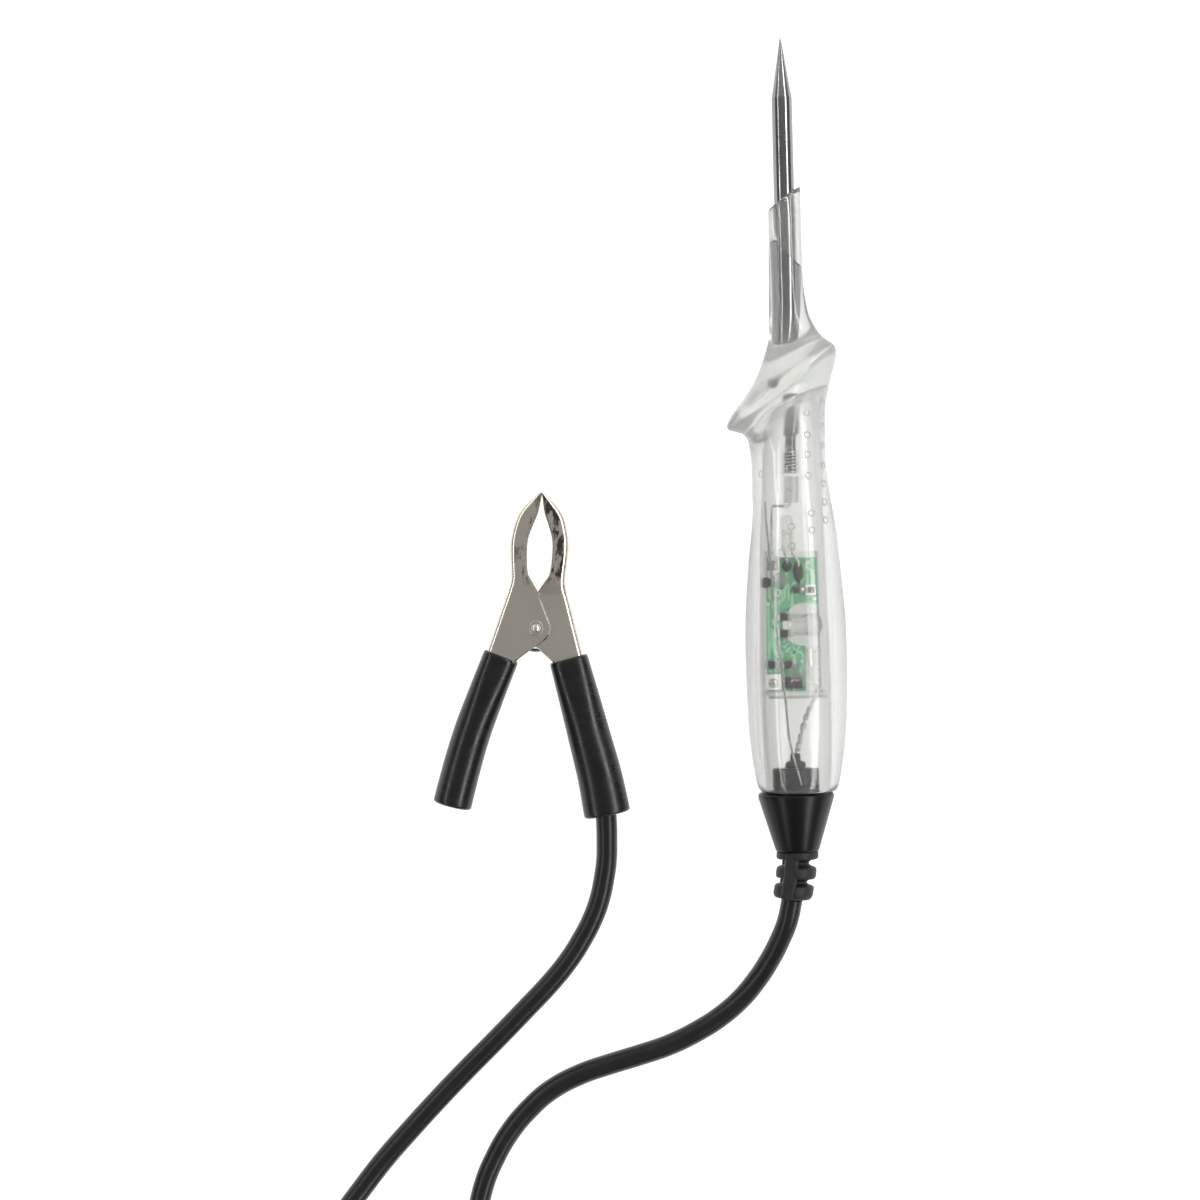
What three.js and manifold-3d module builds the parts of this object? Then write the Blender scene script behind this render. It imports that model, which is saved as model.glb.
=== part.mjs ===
// Circuit test light: a steel needle in a clear handle with two indicator lamps on a small board,
// a flexible earth lead, and a spring clip with vinyl grips on the lead's far end.
// Millimetres. +Z is up, +Y runs along the handle towards the needle's point, +X is to its right.
// The whole object lies on the plane z = 0, and the lead's spare length is coiled on it.

import * as THREE from 'three';
import { mergeVertices } from 'three/addons/utils/BufferGeometryUtils.js';
import Module from 'manifold-3d';

const wasm = await Module();
wasm.setup();

// ---------------------------------------------------------------- driving dimensions

const GAP = 0.3; // clearance between pieces that touch

// Handle
const AXIS_X = 1.22;
const AXIS_Z = 12.4; // the handle rests on its belly, so this is also the belly's half depth
const TIP_Y = 105.15;
const RIM_Y = -78.7; // open end of the clear housing
const TAIL_X = 0.7; // the end cap sits a little off the needle's axis
const GUARD_SLOPE = 0.7; // the finger guard and the sleeve's mouth are cut at 35 degrees
const SLOPE_FROM = 8; // the slope fades out between these two places along the handle
const SLOPE_TO = -42;

const NEEDLE_RADIUS = 2.5;
const NEEDLE_POINT_LENGTH = 14.5;
const CAVITY_TOP_Y = 17.6;

// Circuit board
const BOARD_FRONT_Z = 11.8;
const BOARD_THICKNESS = 1.2;
const BOARD_MID_Z = BOARD_FRONT_Z - BOARD_THICKNESS / 2;
const LAMP_Y = -38.3; // the large lamp that lies in the board's notch

// End cap and strain relief
const CAP_TOP_Y = -79.1;
const CAP_BOTTOM_Y = -93.3;
const RELIEF_TOP_Y = -93.6;
const RELIEF_END_Y = -105.15;

// Lead
const CORD_DIAMETER = 5.2;
const CORD_RADIUS = CORD_DIAMETER / 2;
const CORD_SIDES = 10;
const COIL_CENTRE = new THREE.Vector2(-117, -235.5);
const COIL_RADIUS = 28.8; // mean radius of the turns
const COIL_LIFT = 0.9; // the tie passes under the turns
const COIL_WIDTH = 4 * CORD_DIAMETER; // four turns side by side, three more on them
const COIL_HEIGHT = 1.87 * CORD_DIAMETER;

// Clip, in its own frame: pivot at the origin, jaws towards +Y
const CLIP_PIVOT = new THREE.Vector3(-62.1, -37.5, 4.8);
const CLIP_TURN = THREE.MathUtils.degToRad(-3.85);
const SHEET = 0.8;
const OUTER_HALF = 3.6; // half width of the moving jaw's channel
const INNER_HALF = OUTER_HALF - SHEET - GAP; // the fixed jaw's channel nests in it
const RIVET_RADIUS = 1.2;
const SPRING_RADIUS = 5.5;
const SPRING_WIRE = 0.85;
const GRIP_HALF = CLIP_PIVOT.z;

// ---------------------------------------------------------------- materials

const finish = (color, roughness, metalness, opacity = 1) => () =>
  new THREE.MeshStandardMaterial({
    color, roughness, metalness, opacity, transparent: opacity < 1,
  });

const needleSteel = finish(0x8f9190, 0.22, 1);
const clearPlastic = finish(0xe6e9e4, 0.08, 0, 0.35);
const lampEpoxy = finish(0xf4f6f2, 0.05, 0, 0.5);
const springSteel = finish(0x7c7d7b, 0.3, 1);
const tinnedWire = finish(0xc9cac6, 0.25, 1);
const solder = finish(0xb5b7b4, 0.2, 1);
const boardGreen = finish(0x74b286, 0.45, 0);
const chipBlack = finish(0x2b2b2b, 0.5, 0);
const whiteCeramic = finish(0xf0f0ec, 0.4, 0);
const capBlack = finish(0x1d1c1d, 0.35, 0);
const reliefRubber = finish(0x38383a, 0.75, 0);
const cordJacket = finish(0x2c2b2c, 0.5, 0);
const platedSteel = finish(0x9a9388, 0.28, 1);
const gripVinyl = finish(0x19181a, 0.22, 0);
const tieBlack = finish(0x202020, 0.6, 0);

// ---------------------------------------------------------------- geometry helpers

// One clean closed body: shared vertices merged, slivers dropped, faces out.
function closedBody(geometry) {
  const bare = new THREE.BufferGeometry();
  bare.setAttribute('position', geometry.getAttribute('position').clone());
  if (geometry.index) bare.setIndex(geometry.index.clone());
  const merged = mergeVertices(bare, 1e-4);
  const place = merged.getAttribute('position');
  const corners = [0, 1, 2].map(() => new THREE.Vector3());
  const faces = [];
  let volume = 0;
  for (let i = 0; i < merged.index.count; i += 3) {
    const face = [0, 1, 2].map((k) => merged.index.getX(i + k));
    if (new Set(face).size < 3) continue;
    face.forEach((vertex, k) => corners[k].fromBufferAttribute(place, vertex));
    volume += corners[0].dot(corners[1].clone().cross(corners[2]));
    faces.push(face);
  }
  merged.setIndex(faces.flatMap((face) => (volume < 0 ? [...face].reverse() : face)));
  return merged;
}

function solidOf(geometry) {
  const body = closedBody(geometry);
  return new wasm.Manifold(new wasm.Mesh({
    numProp: 3,
    vertProperties: new Float32Array(body.getAttribute('position').array),
    triVerts: new Uint32Array(body.index.array),
  }));
}

function geometryOf(solid) {
  const mesh = solid.getMesh();
  const geometry = new THREE.BufferGeometry();
  geometry.setAttribute('position', new THREE.BufferAttribute(mesh.vertProperties, 3));
  geometry.setIndex(new THREE.BufferAttribute(mesh.triVerts, 1));
  return geometry;
}

const join = (...parts) => geometryOf(parts.map(solidOf).reduce((a, b) => a.add(b)));
const cut = (body, ...tools) =>
  geometryOf(tools.map(solidOf).reduce((a, b) => a.subtract(b), solidOf(body)));

// A stack of rings with the same number of points, closed by a fan at each end.
function loft(rings) {
  const n = rings[0].length;
  const points = rings.flat();
  const indices = [];
  for (let i = 0; i < rings.length - 1; i += 1) {
    for (let j = 0; j < n; j += 1) {
      const a = i * n + j;
      const b = i * n + ((j + 1) % n);
      indices.push(a, b, b + n, a, b + n, a + n);
    }
  }
  const lastRing = rings.length - 1;
  for (const [index, inward] of [[0, true], [lastRing, false]]) {
    const ring = rings[index];
    const first = index * n;
    const middle = points.length;
    points.push(ring.reduce((sum, p) => sum.add(p), new THREE.Vector3()).divideScalar(n));
    for (let j = 0; j < n; j += 1) {
      const edge = [first + j, first + ((j + 1) % n)];
      indices.push(middle, ...(inward ? edge.reverse() : edge));
    }
  }
  const geometry = new THREE.BufferGeometry().setFromPoints(points);
  geometry.setIndex(indices);
  return geometry;
}

// A body of revolution about the line x, z = given; profile points are [radius, y].
function turned(profile, x = AXIS_X, z = AXIS_Z, segments = 20) {
  const points = profile.map(([r, y]) => new THREE.Vector2(r, y));
  return new THREE.LatheGeometry(points, segments).translate(x, 0, z);
}

function circleShape(radius, sides) {
  const points = [];
  for (let i = 0; i < sides; i += 1) {
    const angle = (i / sides) * 2 * Math.PI;
    points.push(new THREE.Vector2(radius * Math.cos(angle), radius * Math.sin(angle)));
  }
  return new THREE.Shape(points);
}

// A round wire or cord along a smooth curve.
function swept(points, diameter, steps, sides = 8, tension = 0.5) {
  const curve = new THREE.CatmullRomCurve3(
    points.map((p) => new THREE.Vector3(...p)), false, 'catmullrom', tension,
  );
  return new THREE.ExtrudeGeometry(circleShape(diameter / 2, sides), {
    steps, bevelEnabled: false, extrudePath: curve,
  });
}

// A flat outline in x, y, extruded from one z to another.
function slab(shape, fromZ, toZ, curveSegments = 6) {
  return new THREE.ExtrudeGeometry(shape, { depth: toZ - fromZ, bevelEnabled: false, curveSegments })
    .translate(0, 0, fromZ);
}

const polygon = (points) => new THREE.Shape(points.map(([x, y]) => new THREE.Vector2(x, y)));

const block = (x, y, z, cx, cy, cz) => new THREE.BoxGeometry(x, y, z).translate(cx, cy, cz);

// Smooth value of column k at y in rows of [y, ...values] that run down the handle.
function along(rows, y, k) {
  const last = rows.length - 1;
  let i = 0;
  while (i < last - 1 && y < rows[i + 1][0]) i += 1;
  const slope = (j) => {
    if (j === 0 || j === last) return 0;
    const before = (rows[j][k] - rows[j - 1][k]) / (rows[j][0] - rows[j - 1][0]);
    const after = (rows[j + 1][k] - rows[j][k]) / (rows[j + 1][0] - rows[j][0]);
    return before * after <= 0 ? 0 : (2 * before * after) / (before + after);
  };
  const step = rows[i + 1][0] - rows[i][0];
  const t = THREE.MathUtils.clamp((y - rows[i][0]) / step, 0, 1);
  const t2 = t * t;
  const t3 = t2 * t;
  return (2 * t3 - 3 * t2 + 1) * rows[i][k] + (t3 - 2 * t2 + t) * step * slope(i)
    + (3 * t2 - 2 * t3) * rows[i + 1][k] + (t3 - t2) * step * slope(i + 1);
}

// A ring round the handle's axis, wider on one side, leaning by slope.
function handleRing(y, left, right, depth, slope, sides) {
  const ring = [];
  for (let i = 0; i < sides; i += 1) {
    const angle = (i / sides) * 2 * Math.PI;
    const x = Math.cos(angle) * (Math.cos(angle) > 0 ? right : left);
    ring.push(new THREE.Vector3(AXIS_X + x, y + slope * x, AXIS_Z + depth * Math.sin(angle)));
  }
  return ring;
}

// ---------------------------------------------------------------- the scene graph

const group = new THREE.Group();
group.name = 'circuit_test_light';
const clip = new THREE.Group();
clip.position.copy(CLIP_PIVOT);
clip.rotation.z = CLIP_TURN;
group.add(clip);

function addTo(parent, name, material, geometry) {
  const mesh = new THREE.Mesh(closedBody(geometry), material());
  mesh.name = name;
  parent.add(mesh);
}
const add = (name, material, geometry) => addTo(group, name, material, geometry);
const addToClip = (name, material, geometry) => addTo(clip, name, material, geometry);

// ---------------------------------------------------------------- needle and its contact

function buildNeedle() {
  const shoulder = TIP_Y - NEEDLE_POINT_LENGTH;
  add('probe_needle', needleSteel, turned([
    [0, TIP_Y], [0.18, TIP_Y - 0.25], [NEEDLE_RADIUS - 0.12, shoulder + 0.6], [NEEDLE_RADIUS, shoulder],
    [NEEDLE_RADIUS, 30], [1.7, 29.4], [1.7, 8.5], [1.2, 8.1], [1.2, -1.2], [0, -1.2],
  ]));

  // the spring that carries the current from the needle's tail
  const turns = 7.5;
  const radius = 1.65;
  const springTop = 3.9;
  const springLength = 5;
  const coil = [];
  for (let i = 0; i <= turns * 10; i += 1) {
    const angle = (i / 10) * 2 * Math.PI;
    const y = springTop - (i / (turns * 10)) * springLength;
    coil.push([AXIS_X + radius * Math.cos(angle), y, AXIS_Z + radius * Math.sin(angle)]);
  }
  add('contact_spring', springSteel, swept(coil, 0.36, coil.length - 1, 5));

  const post = [[0, -2], [1.5, -2], [1.5, -8.7], [0, -8.7]];
  add('contact_post', clearPlastic, turned(post, AXIS_X, AXIS_Z + GAP, 14));
  add('contact_lead', tinnedWire, swept([
    [1.3, -2.2, 9.9], [1.3, -8.6, 9.9], [1.1, -9.4, 10.6], [0.2, -9.5, 12.1], [-2.9, -9.3, 12.4],
    [-3.5, -9.9, 12.4], [-3.6, -15, 12.4], [-3.8, -21.3, 12.4],
  ], 0.7, 40, 6));
}

// ---------------------------------------------------------------- clear housing

// Down the handle: y, half widths to the left and right, half depth.
const HOUSING = [
  [66.1, 3.95, 4.0, 3.95], // mouth of the sleeve
  [44.2, 4.35, 4.1, 4.05],
  [36.1, 4.5, 4.9, 4.5],
  [31.5, 5.95, 6.1, 5.8], // front of the guard
  [27.1, 8.7, 8.0, 8.0],
  [24.2, 12.6, 9.8, 10.6],
  [21.1, 15.3, 11.6, 12.3], // rim of the guard
  [16.5, 11.4, 11.0, 11.0],
  [13.9, 10.3, 10.0, 9.9],
  [7.1, 9.5, 8.6, 8.9], // waist for the forefinger
  [-2.7, 9.6, 8.7, 9.1],
  [-22.2, 11.1, 11.2, 11.1],
  [-43, 12.15, 12.65, 12.4], // belly
  [-61, 11.9, 12.2, 11.8],
  [-77, 10.1, 10.0, 9.9],
  [RIM_Y, 9.4, 9.4, 9.3],
];

// The bore for the board: y, half width.
const CAVITY = [
  [CAVITY_TOP_Y, 7.2],
  [0, 7.5],
  [-30, 8.2],
  [-54, 8.7],
  [-70, 8.5],
  [-77, 8.0],
  [RIM_Y - 1, 7.9],
];

function housingSlope(y) {
  return GUARD_SLOPE * THREE.MathUtils.smoothstep(y, SLOPE_TO, SLOPE_FROM);
}

function buildHousing() {
  const sides = 28;
  const stations = HOUSING.flatMap((row, i) => {
    const next = HOUSING[i + 1];
    if (!next) return [row[0]];
    return row[0] - next[0] > 8 ? [row[0], (row[0] + next[0]) / 2] : [row[0]];
  });
  const outside = loft(stations.map((y) =>
    handleRing(y, along(HOUSING, y, 1), along(HOUSING, y, 2), along(HOUSING, y, 3), housingSlope(y), sides)));

  const inside = loft(CAVITY.map(([y, half]) =>
    handleRing(y, half, half, half, y === CAVITY_TOP_Y ? 0.5 : 0, 20)));
  const needleBore = turned([[0, 75], [NEEDLE_RADIUS + GAP, 75], [NEEDLE_RADIUS + GAP, 10], [0, 10]]);
  add('handle_housing', clearPlastic, cut(outside, inside, needleBore));
}

// ---------------------------------------------------------------- board and lamps

function boardOutline() {
  const shape = new THREE.Shape();
  shape.moveTo(-1.9, -22);
  shape.lineTo(7.5, -22.1);
  shape.lineTo(7.4, -33.2);
  shape.lineTo(3.4, -33.2);
  shape.absarc(3.4, LAMP_Y + 0.1, 5, Math.PI / 2, (3 * Math.PI) / 2, false);
  shape.lineTo(3.9, -43.2);
  shape.lineTo(3.7, -54.1);
  shape.lineTo(-5.9, -53.9);
  shape.lineTo(-5.4, -27.6);
  shape.lineTo(-1.9, -27.6);
  return shape;
}

// A lamp body along +Y with its flat back at y = 0: base flange, barrel and dome.
function lampBody(radius, length, flange) {
  const dome = [];
  for (let i = 0; i <= 5; i += 1) {
    const angle = (i / 5) * (Math.PI / 2);
    dome.push([radius * Math.cos(angle), length - radius + radius * Math.sin(angle)]);
  }
  dome[5][0] = 0;
  return turned([[0, 0], [radius + flange, 0], [radius + flange, 0.9], [radius, 0.9], ...dome], 0, 0, 18);
}

function buildBoard() {
  add('circuit_board', boardGreen, slab(boardOutline(), BOARD_FRONT_Z - BOARD_THICKNESS, BOARD_FRONT_Z, 8));

  // the small lamp points up the handle; its leads are soldered to the board's front
  const smallX = 0.3;
  add('led_small', lampEpoxy, lampBody(1.55, 8.7, 0.25).translate(smallX, -20.5, BOARD_MID_Z));
  const smallLeads = [
    { name: 'a', side: -1, x: -0.15, y: -24.1, long: 1.3 },
    { name: 'b', side: 1, x: 2.6, y: -25.6, long: 2.4 },
  ];
  for (const { name, side, x, y, long } of smallLeads) {
    const start = smallX + 0.9 * side;
    const end = y + long + GAP;
    add(`led_small_lead_${name}`, tinnedWire, swept([
      [start, -20.8, BOARD_MID_Z], [start, -21.2, 12.1], [(start + x) / 2, -21.8, 12.6], [x, end, 12.6],
    ], 0.5, 8, 6));
    add(`led_small_joint_${name}`, solder, turned(
      [[0, 0], [0.85, 0], [0.75, 0.6], [0.35, 1.1], [0, 1.1]], 0, 0, 12,
    ).rotateX(Math.PI / 2).scale(1, long / 0.85, 1).translate(x, y, BOARD_FRONT_Z + GAP));
  }

  // the large lamp points out sideways; its leads run behind the board
  add('led_large', lampEpoxy, lampBody(2.5, 8.6, 0.35).rotateZ(-Math.PI / 2)
    .translate(0.1, LAMP_Y, BOARD_MID_Z));
  for (const [name, side] of [['a', -1], ['b', 1]]) {
    const y = LAMP_Y + 1.27 * side;
    add(`led_large_lead_${name}`, tinnedWire, swept([
      [-0.2, y, BOARD_MID_Z], [-0.7, y, BOARD_MID_Z - 0.2], [-1.2, y, 10.2], [-3, y, 10.1],
    ], 0.5, 8, 6));
  }

  add('led_side', lampEpoxy, lampBody(1.65, 8, 0.25).rotateZ(Math.PI).translate(6, -43.7, BOARD_MID_Z + 0.6));
}

// ---------------------------------------------------------------- small parts on the board

function buildBoardParts() {
  const floor = BOARD_FRONT_Z + GAP;
  const chips = [[-1.3, -36.4], [-1.4, -40.25], [-4.4, -47.6], [-0.6, -47.7]];
  chips.forEach(([x, y], i) => {
    add(`chip_resistor_${i + 1}`, chipBlack, block(2.3, 1.9, 0.6, x, y, floor + 0.3));
  });
  // a round body with a square foot
  add('diode', whiteCeramic, join(
    block(2.4, 2.2, 1.1, 5.4, -30, floor + 0.55),
    new THREE.CylinderGeometry(0.8, 0.8, 3.4, 12).rotateZ(Math.PI / 2).translate(3.2, -29.9, floor + 0.85),
  ));
  add('transistor', chipBlack, block(4.4, 2.9, 1.0, 0.7, -52, floor + 0.5));
  // a tinned square eyelet
  const eyelet = polygon([[-6, -53.7], [-2.3, -53.7], [-2.3, -49.9], [-6, -49.9]]);
  eyelet.holes.push(new THREE.Path().absarc(-4.3, -52.1, 1.1, 0, 2 * Math.PI, true));
  add('board_terminal', whiteCeramic, slab(eyelet, floor, floor + 0.9, 7));

  const lug = polygon([[-5.2, -21.7], [-2.3, -21.7], [-2.3, -25.1], [-5.2, -25.1]]);
  add('contact_lug', tinnedWire, cut(
    slab(lug, BOARD_FRONT_Z - BOARD_THICKNESS, BOARD_FRONT_Z + 0.2),
    block(1.5, 1.6, 3, -3.8, -21.9, 12.4),
  ));
  const bead = (radius) => new THREE.IcosahedronGeometry(radius, 2);
  add('solder_bead', solder, bead(1.2).translate(-5.4, -28, 13.3));
  add('lead_joint', solder, bead(0.75).translate(6.1, -53.1, 14.4));
}

// ---------------------------------------------------------------- carrier that holds the board

function buildCarrier() {
  const top = -20.6;
  const bottom = -55.2;
  const footTop = bottom + 1.3;
  const seat = BOARD_FRONT_Z - BOARD_THICKNESS - GAP;
  const trough = turned(
    [[6.5, top], [7.2, top], [7.2, bottom], [6.5, bottom], [6.5, top]], AXIS_X, AXIS_Z, 24,
  );
  const foot = turned([[0, footTop], [7.7, footTop], [7.7, bottom], [0, bottom]], AXIS_X, AXIS_Z, 24);
  const front = block(30, 60, 12, AXIS_X, -38, seat + 6);
  const lampWindow = block(5, 6.4, 4, 8.5, LAMP_Y, 10);
  const post = (x, y) => new THREE.CylinderGeometry(0.9, 0.9, 3.4, 10).rotateX(Math.PI / 2)
    .translate(x, y, seat - 1.7);
  const bridge = (y) => block(13, 3.4, 0.8, AXIS_X, y, seat - 0.9);
  add('board_carrier', clearPlastic, join(
    cut(trough, front, lampWindow), cut(foot, front), bridge(-29), bridge(-45.5),
    post(-2, -29), post(1.4, -45.5),
  ));
  // flattened heads that clamp the board to the carrier
  [[-2.0, -27.5, 0], [1.4, -49.6, 1.3]].forEach(([x, y, lift], i) => {
    add(`carrier_stake_${i + 1}`, clearPlastic, turned(
      [[0, 0], [2, 0], [1.9, 0.5], [1.2, 0.9], [0, 1]], 0, 0, 16,
    ).rotateX(Math.PI / 2).translate(x, y, BOARD_FRONT_Z + GAP + lift));
  });
}

// ---------------------------------------------------------------- wires inside the handle

function buildWires() {
  add('ground_conductor', tinnedWire, swept([
    [6, -54.3, 14.4], [5, -57, 14.2], [3.3, -60.6, 13.6], [1.9, -65.5, 12.8], [1.1, -68.6, AXIS_Z],
  ], 1.1, 12, 7));
  add('sense_wire', tinnedWire, swept([
    [-5.4, -8, 13.2], [-3.5, -34.4, 15.6], [-1.8, -54.5, 17.4], [1.4, -76.6, 19.1],
  ], 0.5, 10, 6));
}

// ---------------------------------------------------------------- end cap, seal, relief

// The relief's own sideways lean, as the lead pulls it to the left.
const reliefLean = (y) => {
  const below = Math.max(0, RELIEF_TOP_Y - y);
  return -0.05 * below - 0.008 * below * below;
};

function leaning(geometry) {
  const bent = geometry.clone();
  const place = bent.getAttribute('position');
  for (let i = 0; i < place.count; i += 1) place.setX(i, place.getX(i) + reliefLean(place.getY(i)));
  return bent;
}

function buildTail() {
  const capBore = 3.6;
  add('end_cap', capBlack, turned([
    [capBore, CAP_BOTTOM_Y], [5.0, CAP_BOTTOM_Y], [5.25, CAP_BOTTOM_Y + 0.3], [9.1, CAP_TOP_Y - 0.9],
    [9.15, CAP_TOP_Y - 0.3], [8.8, CAP_TOP_Y], [6.2, CAP_TOP_Y], [6.2, -77.2], [capBore, -77.2],
    [capBore, CAP_BOTTOM_Y],
  ], TAIL_X, AXIS_Z, 28));
  add('seal_ring', reliefRubber, turned([
    [6.5, -78.7], [7.2, -78.7], [7.2, -77.4], [6.5, -77.4], [6.5, -78.7],
  ], TAIL_X, AXIS_Z, 24));
  add('cord_collar', capBlack, turned([
    [CORD_RADIUS + GAP, -76.8], [5.7, -76.8], [5.7, -72.9], [5.3, -72.6], [CORD_RADIUS + GAP, -72.6],
    [CORD_RADIUS + GAP, -76.8],
  ], TAIL_X, AXIS_Z, 24));
  add('cable_inner_end', cordJacket, turned([
    [0, -69], [CORD_RADIUS - 0.1, -69.1], [CORD_RADIUS - 0.1, -92.5], [0, -92.5],
  ], TAIL_X, AXIS_Z, 16));

  const core = 3.35;
  const ring = (from, to, radius) => [
    [core, from], [radius - 0.4, from - 0.5], [radius, from - 1],
    [radius, to + 0.9], [radius - 0.5, to + 0.2], [core, to],
  ];
  const bore = CORD_RADIUS + GAP;
  const rings = turned([
    [0, -92.8], [bore, -92.8], [bore, -78.4], [core, -78.4], [core, RELIEF_TOP_Y],
    [5.1, RELIEF_TOP_Y], [5.1, -95], [core, -96.6],
    ...ring(-97, -100.6, 4.9), ...ring(-101, -104.9, 4.8), [core, RELIEF_END_Y], [0, RELIEF_END_Y],
  ], TAIL_X, AXIS_Z, 20);
  const rib = (side) => block(3.2, 9.6, 1.9, TAIL_X - 1.5, -99.4, AXIS_Z + side * 3.7);
  add('strain_relief', reliefRubber, leaning(join(rings, rib(1), rib(-1))));
}

// ---------------------------------------------------------------- the lead

const ON_FLOOR = CORD_RADIUS + 0.05;
const HANDLE_RUN = [
  [-0.95, -104.9, 12.35], [-2.1, -110.4, 11.3], [-4.0, -115.6, 9.2], [-6.5, -120.9, 6.7],
  [-9.6, -126.0, 4.6], [-13.8, -131.1, 3.2], [-18.8, -135.3, ON_FLOOR], [-23.9, -138.4, ON_FLOOR],
  [-31.4, -141.9, ON_FLOOR], [-39.0, -144.3, ON_FLOOR], [-46.5, -146.4, ON_FLOOR],
  [-54.0, -148.8, ON_FLOOR], [-61.5, -152.6, ON_FLOOR], [-67.0, -157.2, ON_FLOOR],
  [-71.8, -162.7, ON_FLOOR], [-75.6, -168.9, ON_FLOOR], [-78.5, -175.5, ON_FLOOR],
  [-80.2, -183, ON_FLOOR], [-80.7, -192, ON_FLOOR], [-80.2, -204, ON_FLOOR], [-79.0, -218, ON_FLOOR],
];
const CLIP_RUN = [
  [-45.95, -83.95, 4.8], [-45.85, -87.3, 4.6], [-45.9, -90.8, 4.0], [-46.1, -95.6, 3.0],
  [-46.9, -100.6, ON_FLOOR],
  [-48.1, -105.5, ON_FLOOR], [-50.1, -110.5, ON_FLOOR], [-52.8, -115.4, ON_FLOOR],
  [-56.1, -120.3, ON_FLOOR], [-60.2, -125.2, ON_FLOOR], [-67.4, -132.5, ON_FLOOR],
  [-74.7, -139.7, ON_FLOOR], [-82.3, -147.0, ON_FLOOR], [-89.6, -154.3, ON_FLOOR],
  [-96.6, -161.6, ON_FLOOR], [-103.3, -168.9, ON_FLOOR], [-109.6, -176.6, ON_FLOOR + 0.9],
  [-118, -187, 5.9], [-128.6, -199, 8.5],
];

function buildCord() {
  const step = 2.5 * CORD_DIAMETER;
  const steps = (points) => {
    const curve = new THREE.CatmullRomCurve3(points.map((p) => new THREE.Vector3(...p)));
    return Math.ceil(curve.getLength() / step) * 2;
  };
  const half = COIL_WIDTH / 2;
  const top = COIL_LIFT + COIL_HEIGHT;
  const section = [
    [COIL_RADIUS - half, COIL_LIFT], [COIL_RADIUS + half, COIL_LIFT],
    [COIL_RADIUS + half, COIL_LIFT + CORD_DIAMETER], [COIL_RADIUS + half - CORD_RADIUS, top],
    [COIL_RADIUS - half + CORD_RADIUS, top], [COIL_RADIUS - half, COIL_LIFT + CORD_DIAMETER],
  ];
  const ringProfile = [...section, section[0]].map(([r, z]) => new THREE.Vector2(r, z));
  const ring = new THREE.LatheGeometry(ringProfile, 40).rotateX(Math.PI / 2)
    .translate(COIL_CENTRE.x, COIL_CENTRE.y, 0);
  add('cord_coil', cordJacket, ring);

  const coilRoom = slab(circleShape(COIL_RADIUS + half + GAP, 40), -1, 30)
    .translate(COIL_CENTRE.x, COIL_CENTRE.y, 0);
  const reliefRoom = block(20, 4, 20, 0, RELIEF_END_Y - GAP + 2, AXIS_Z);
  for (const [name, route] of [['cord_handle_run', HANDLE_RUN], ['cord_clip_run', CLIP_RUN]]) {
    const run = swept(route, CORD_DIAMETER, steps(route), CORD_SIDES);
    add(name, cordJacket, cut(run, coilRoom, reliefRoom));
  }

  // a flat strap round the turns
  const strap = 0.55;
  const around = (grow) => polygon([
    [-half - grow, COIL_LIFT - grow], [half + grow, COIL_LIFT - grow],
    [half + grow, COIL_LIFT + CORD_DIAMETER], [half - CORD_RADIUS + grow / 2, top + grow],
    [-half + CORD_RADIUS - grow / 2, top + grow], [-half - grow, COIL_LIFT + CORD_DIAMETER],
  ]);
  const tie = cut(slab(around(GAP + strap), -2, 2), slab(around(GAP), -3, 3));
  add('cord_tie', tieBlack, tie.rotateX(Math.PI / 2).rotateZ(-Math.PI / 2)
    .translate(COIL_CENTRE.x, COIL_CENTRE.y - COIL_RADIUS, 0));
}

// ---------------------------------------------------------------- the clip's jaws

// Centre line of a clip handle inside its grip, and the grip's half width there.
const HANDLE_LINE = [[8.3, -7.2], [11.8, -16.6], [15.0, -26.3], [17.2, -35.2], [19.2, -44.9]];

// The two edges of a jaw on the left of the pivot, seen square on, each from top to bottom:
// a curved nose, a lobe round the rivet and a handle that ends part of the way down its grip.
function jawEdges(handleLength) {
  const line = new THREE.SplineCurve(HANDLE_LINE.map(([x, y]) => new THREE.Vector2(-x, y)));
  const handleEdge = (side) => {
    const points = [];
    for (let i = 0; i <= 4; i += 1) {
      const t = THREE.MathUtils.lerp(0.16, handleLength, i / 4);
      const ahead = line.getTangent(t);
      points.push(line.getPoint(t).add(new THREE.Vector2(ahead.y, -ahead.x).multiplyScalar(side * 2.9)));
    }
    return points;
  };
  const spline = (pairs, count) =>
    new THREE.SplineCurve(pairs.map(([x, y]) => new THREE.Vector2(x, y))).getPoints(count);
  const outer = [
    ...spline([[-0.2, 33.7], [-1.4, 32.8], [-4.4, 29.9], [-6.2, 26.6], [-7.25, 21.6], [-7.2, 17.5],
      [-6.8, 12.2], [-7.35, 9.1]], 16),
    new THREE.Vector2(-11.7, -5.4), ...handleEdge(1),
  ];
  const lobe = new THREE.EllipseCurve(0, 0, 3.65, 3.65, 0.6, -0.92, true).getPoints(8);
  const inner = [
    ...spline([[-0.2, 32.6], [-0.9, 28.6], [-2.1, 25.3], [-3.15, 21.5], [-3.15, 16.2], [-2.75, 13.3]], 10),
    new THREE.Vector2(0.3, 8.4), ...lobe, new THREE.Vector2(-1.0, -5.1), new THREE.Vector2(-4.5, -8.2),
    ...handleEdge(-1),
  ];
  return { outer, inner };
}

const jawShape = ({ outer, inner }) => new THREE.Shape([...outer, ...[...inner].reverse()]);

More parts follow.
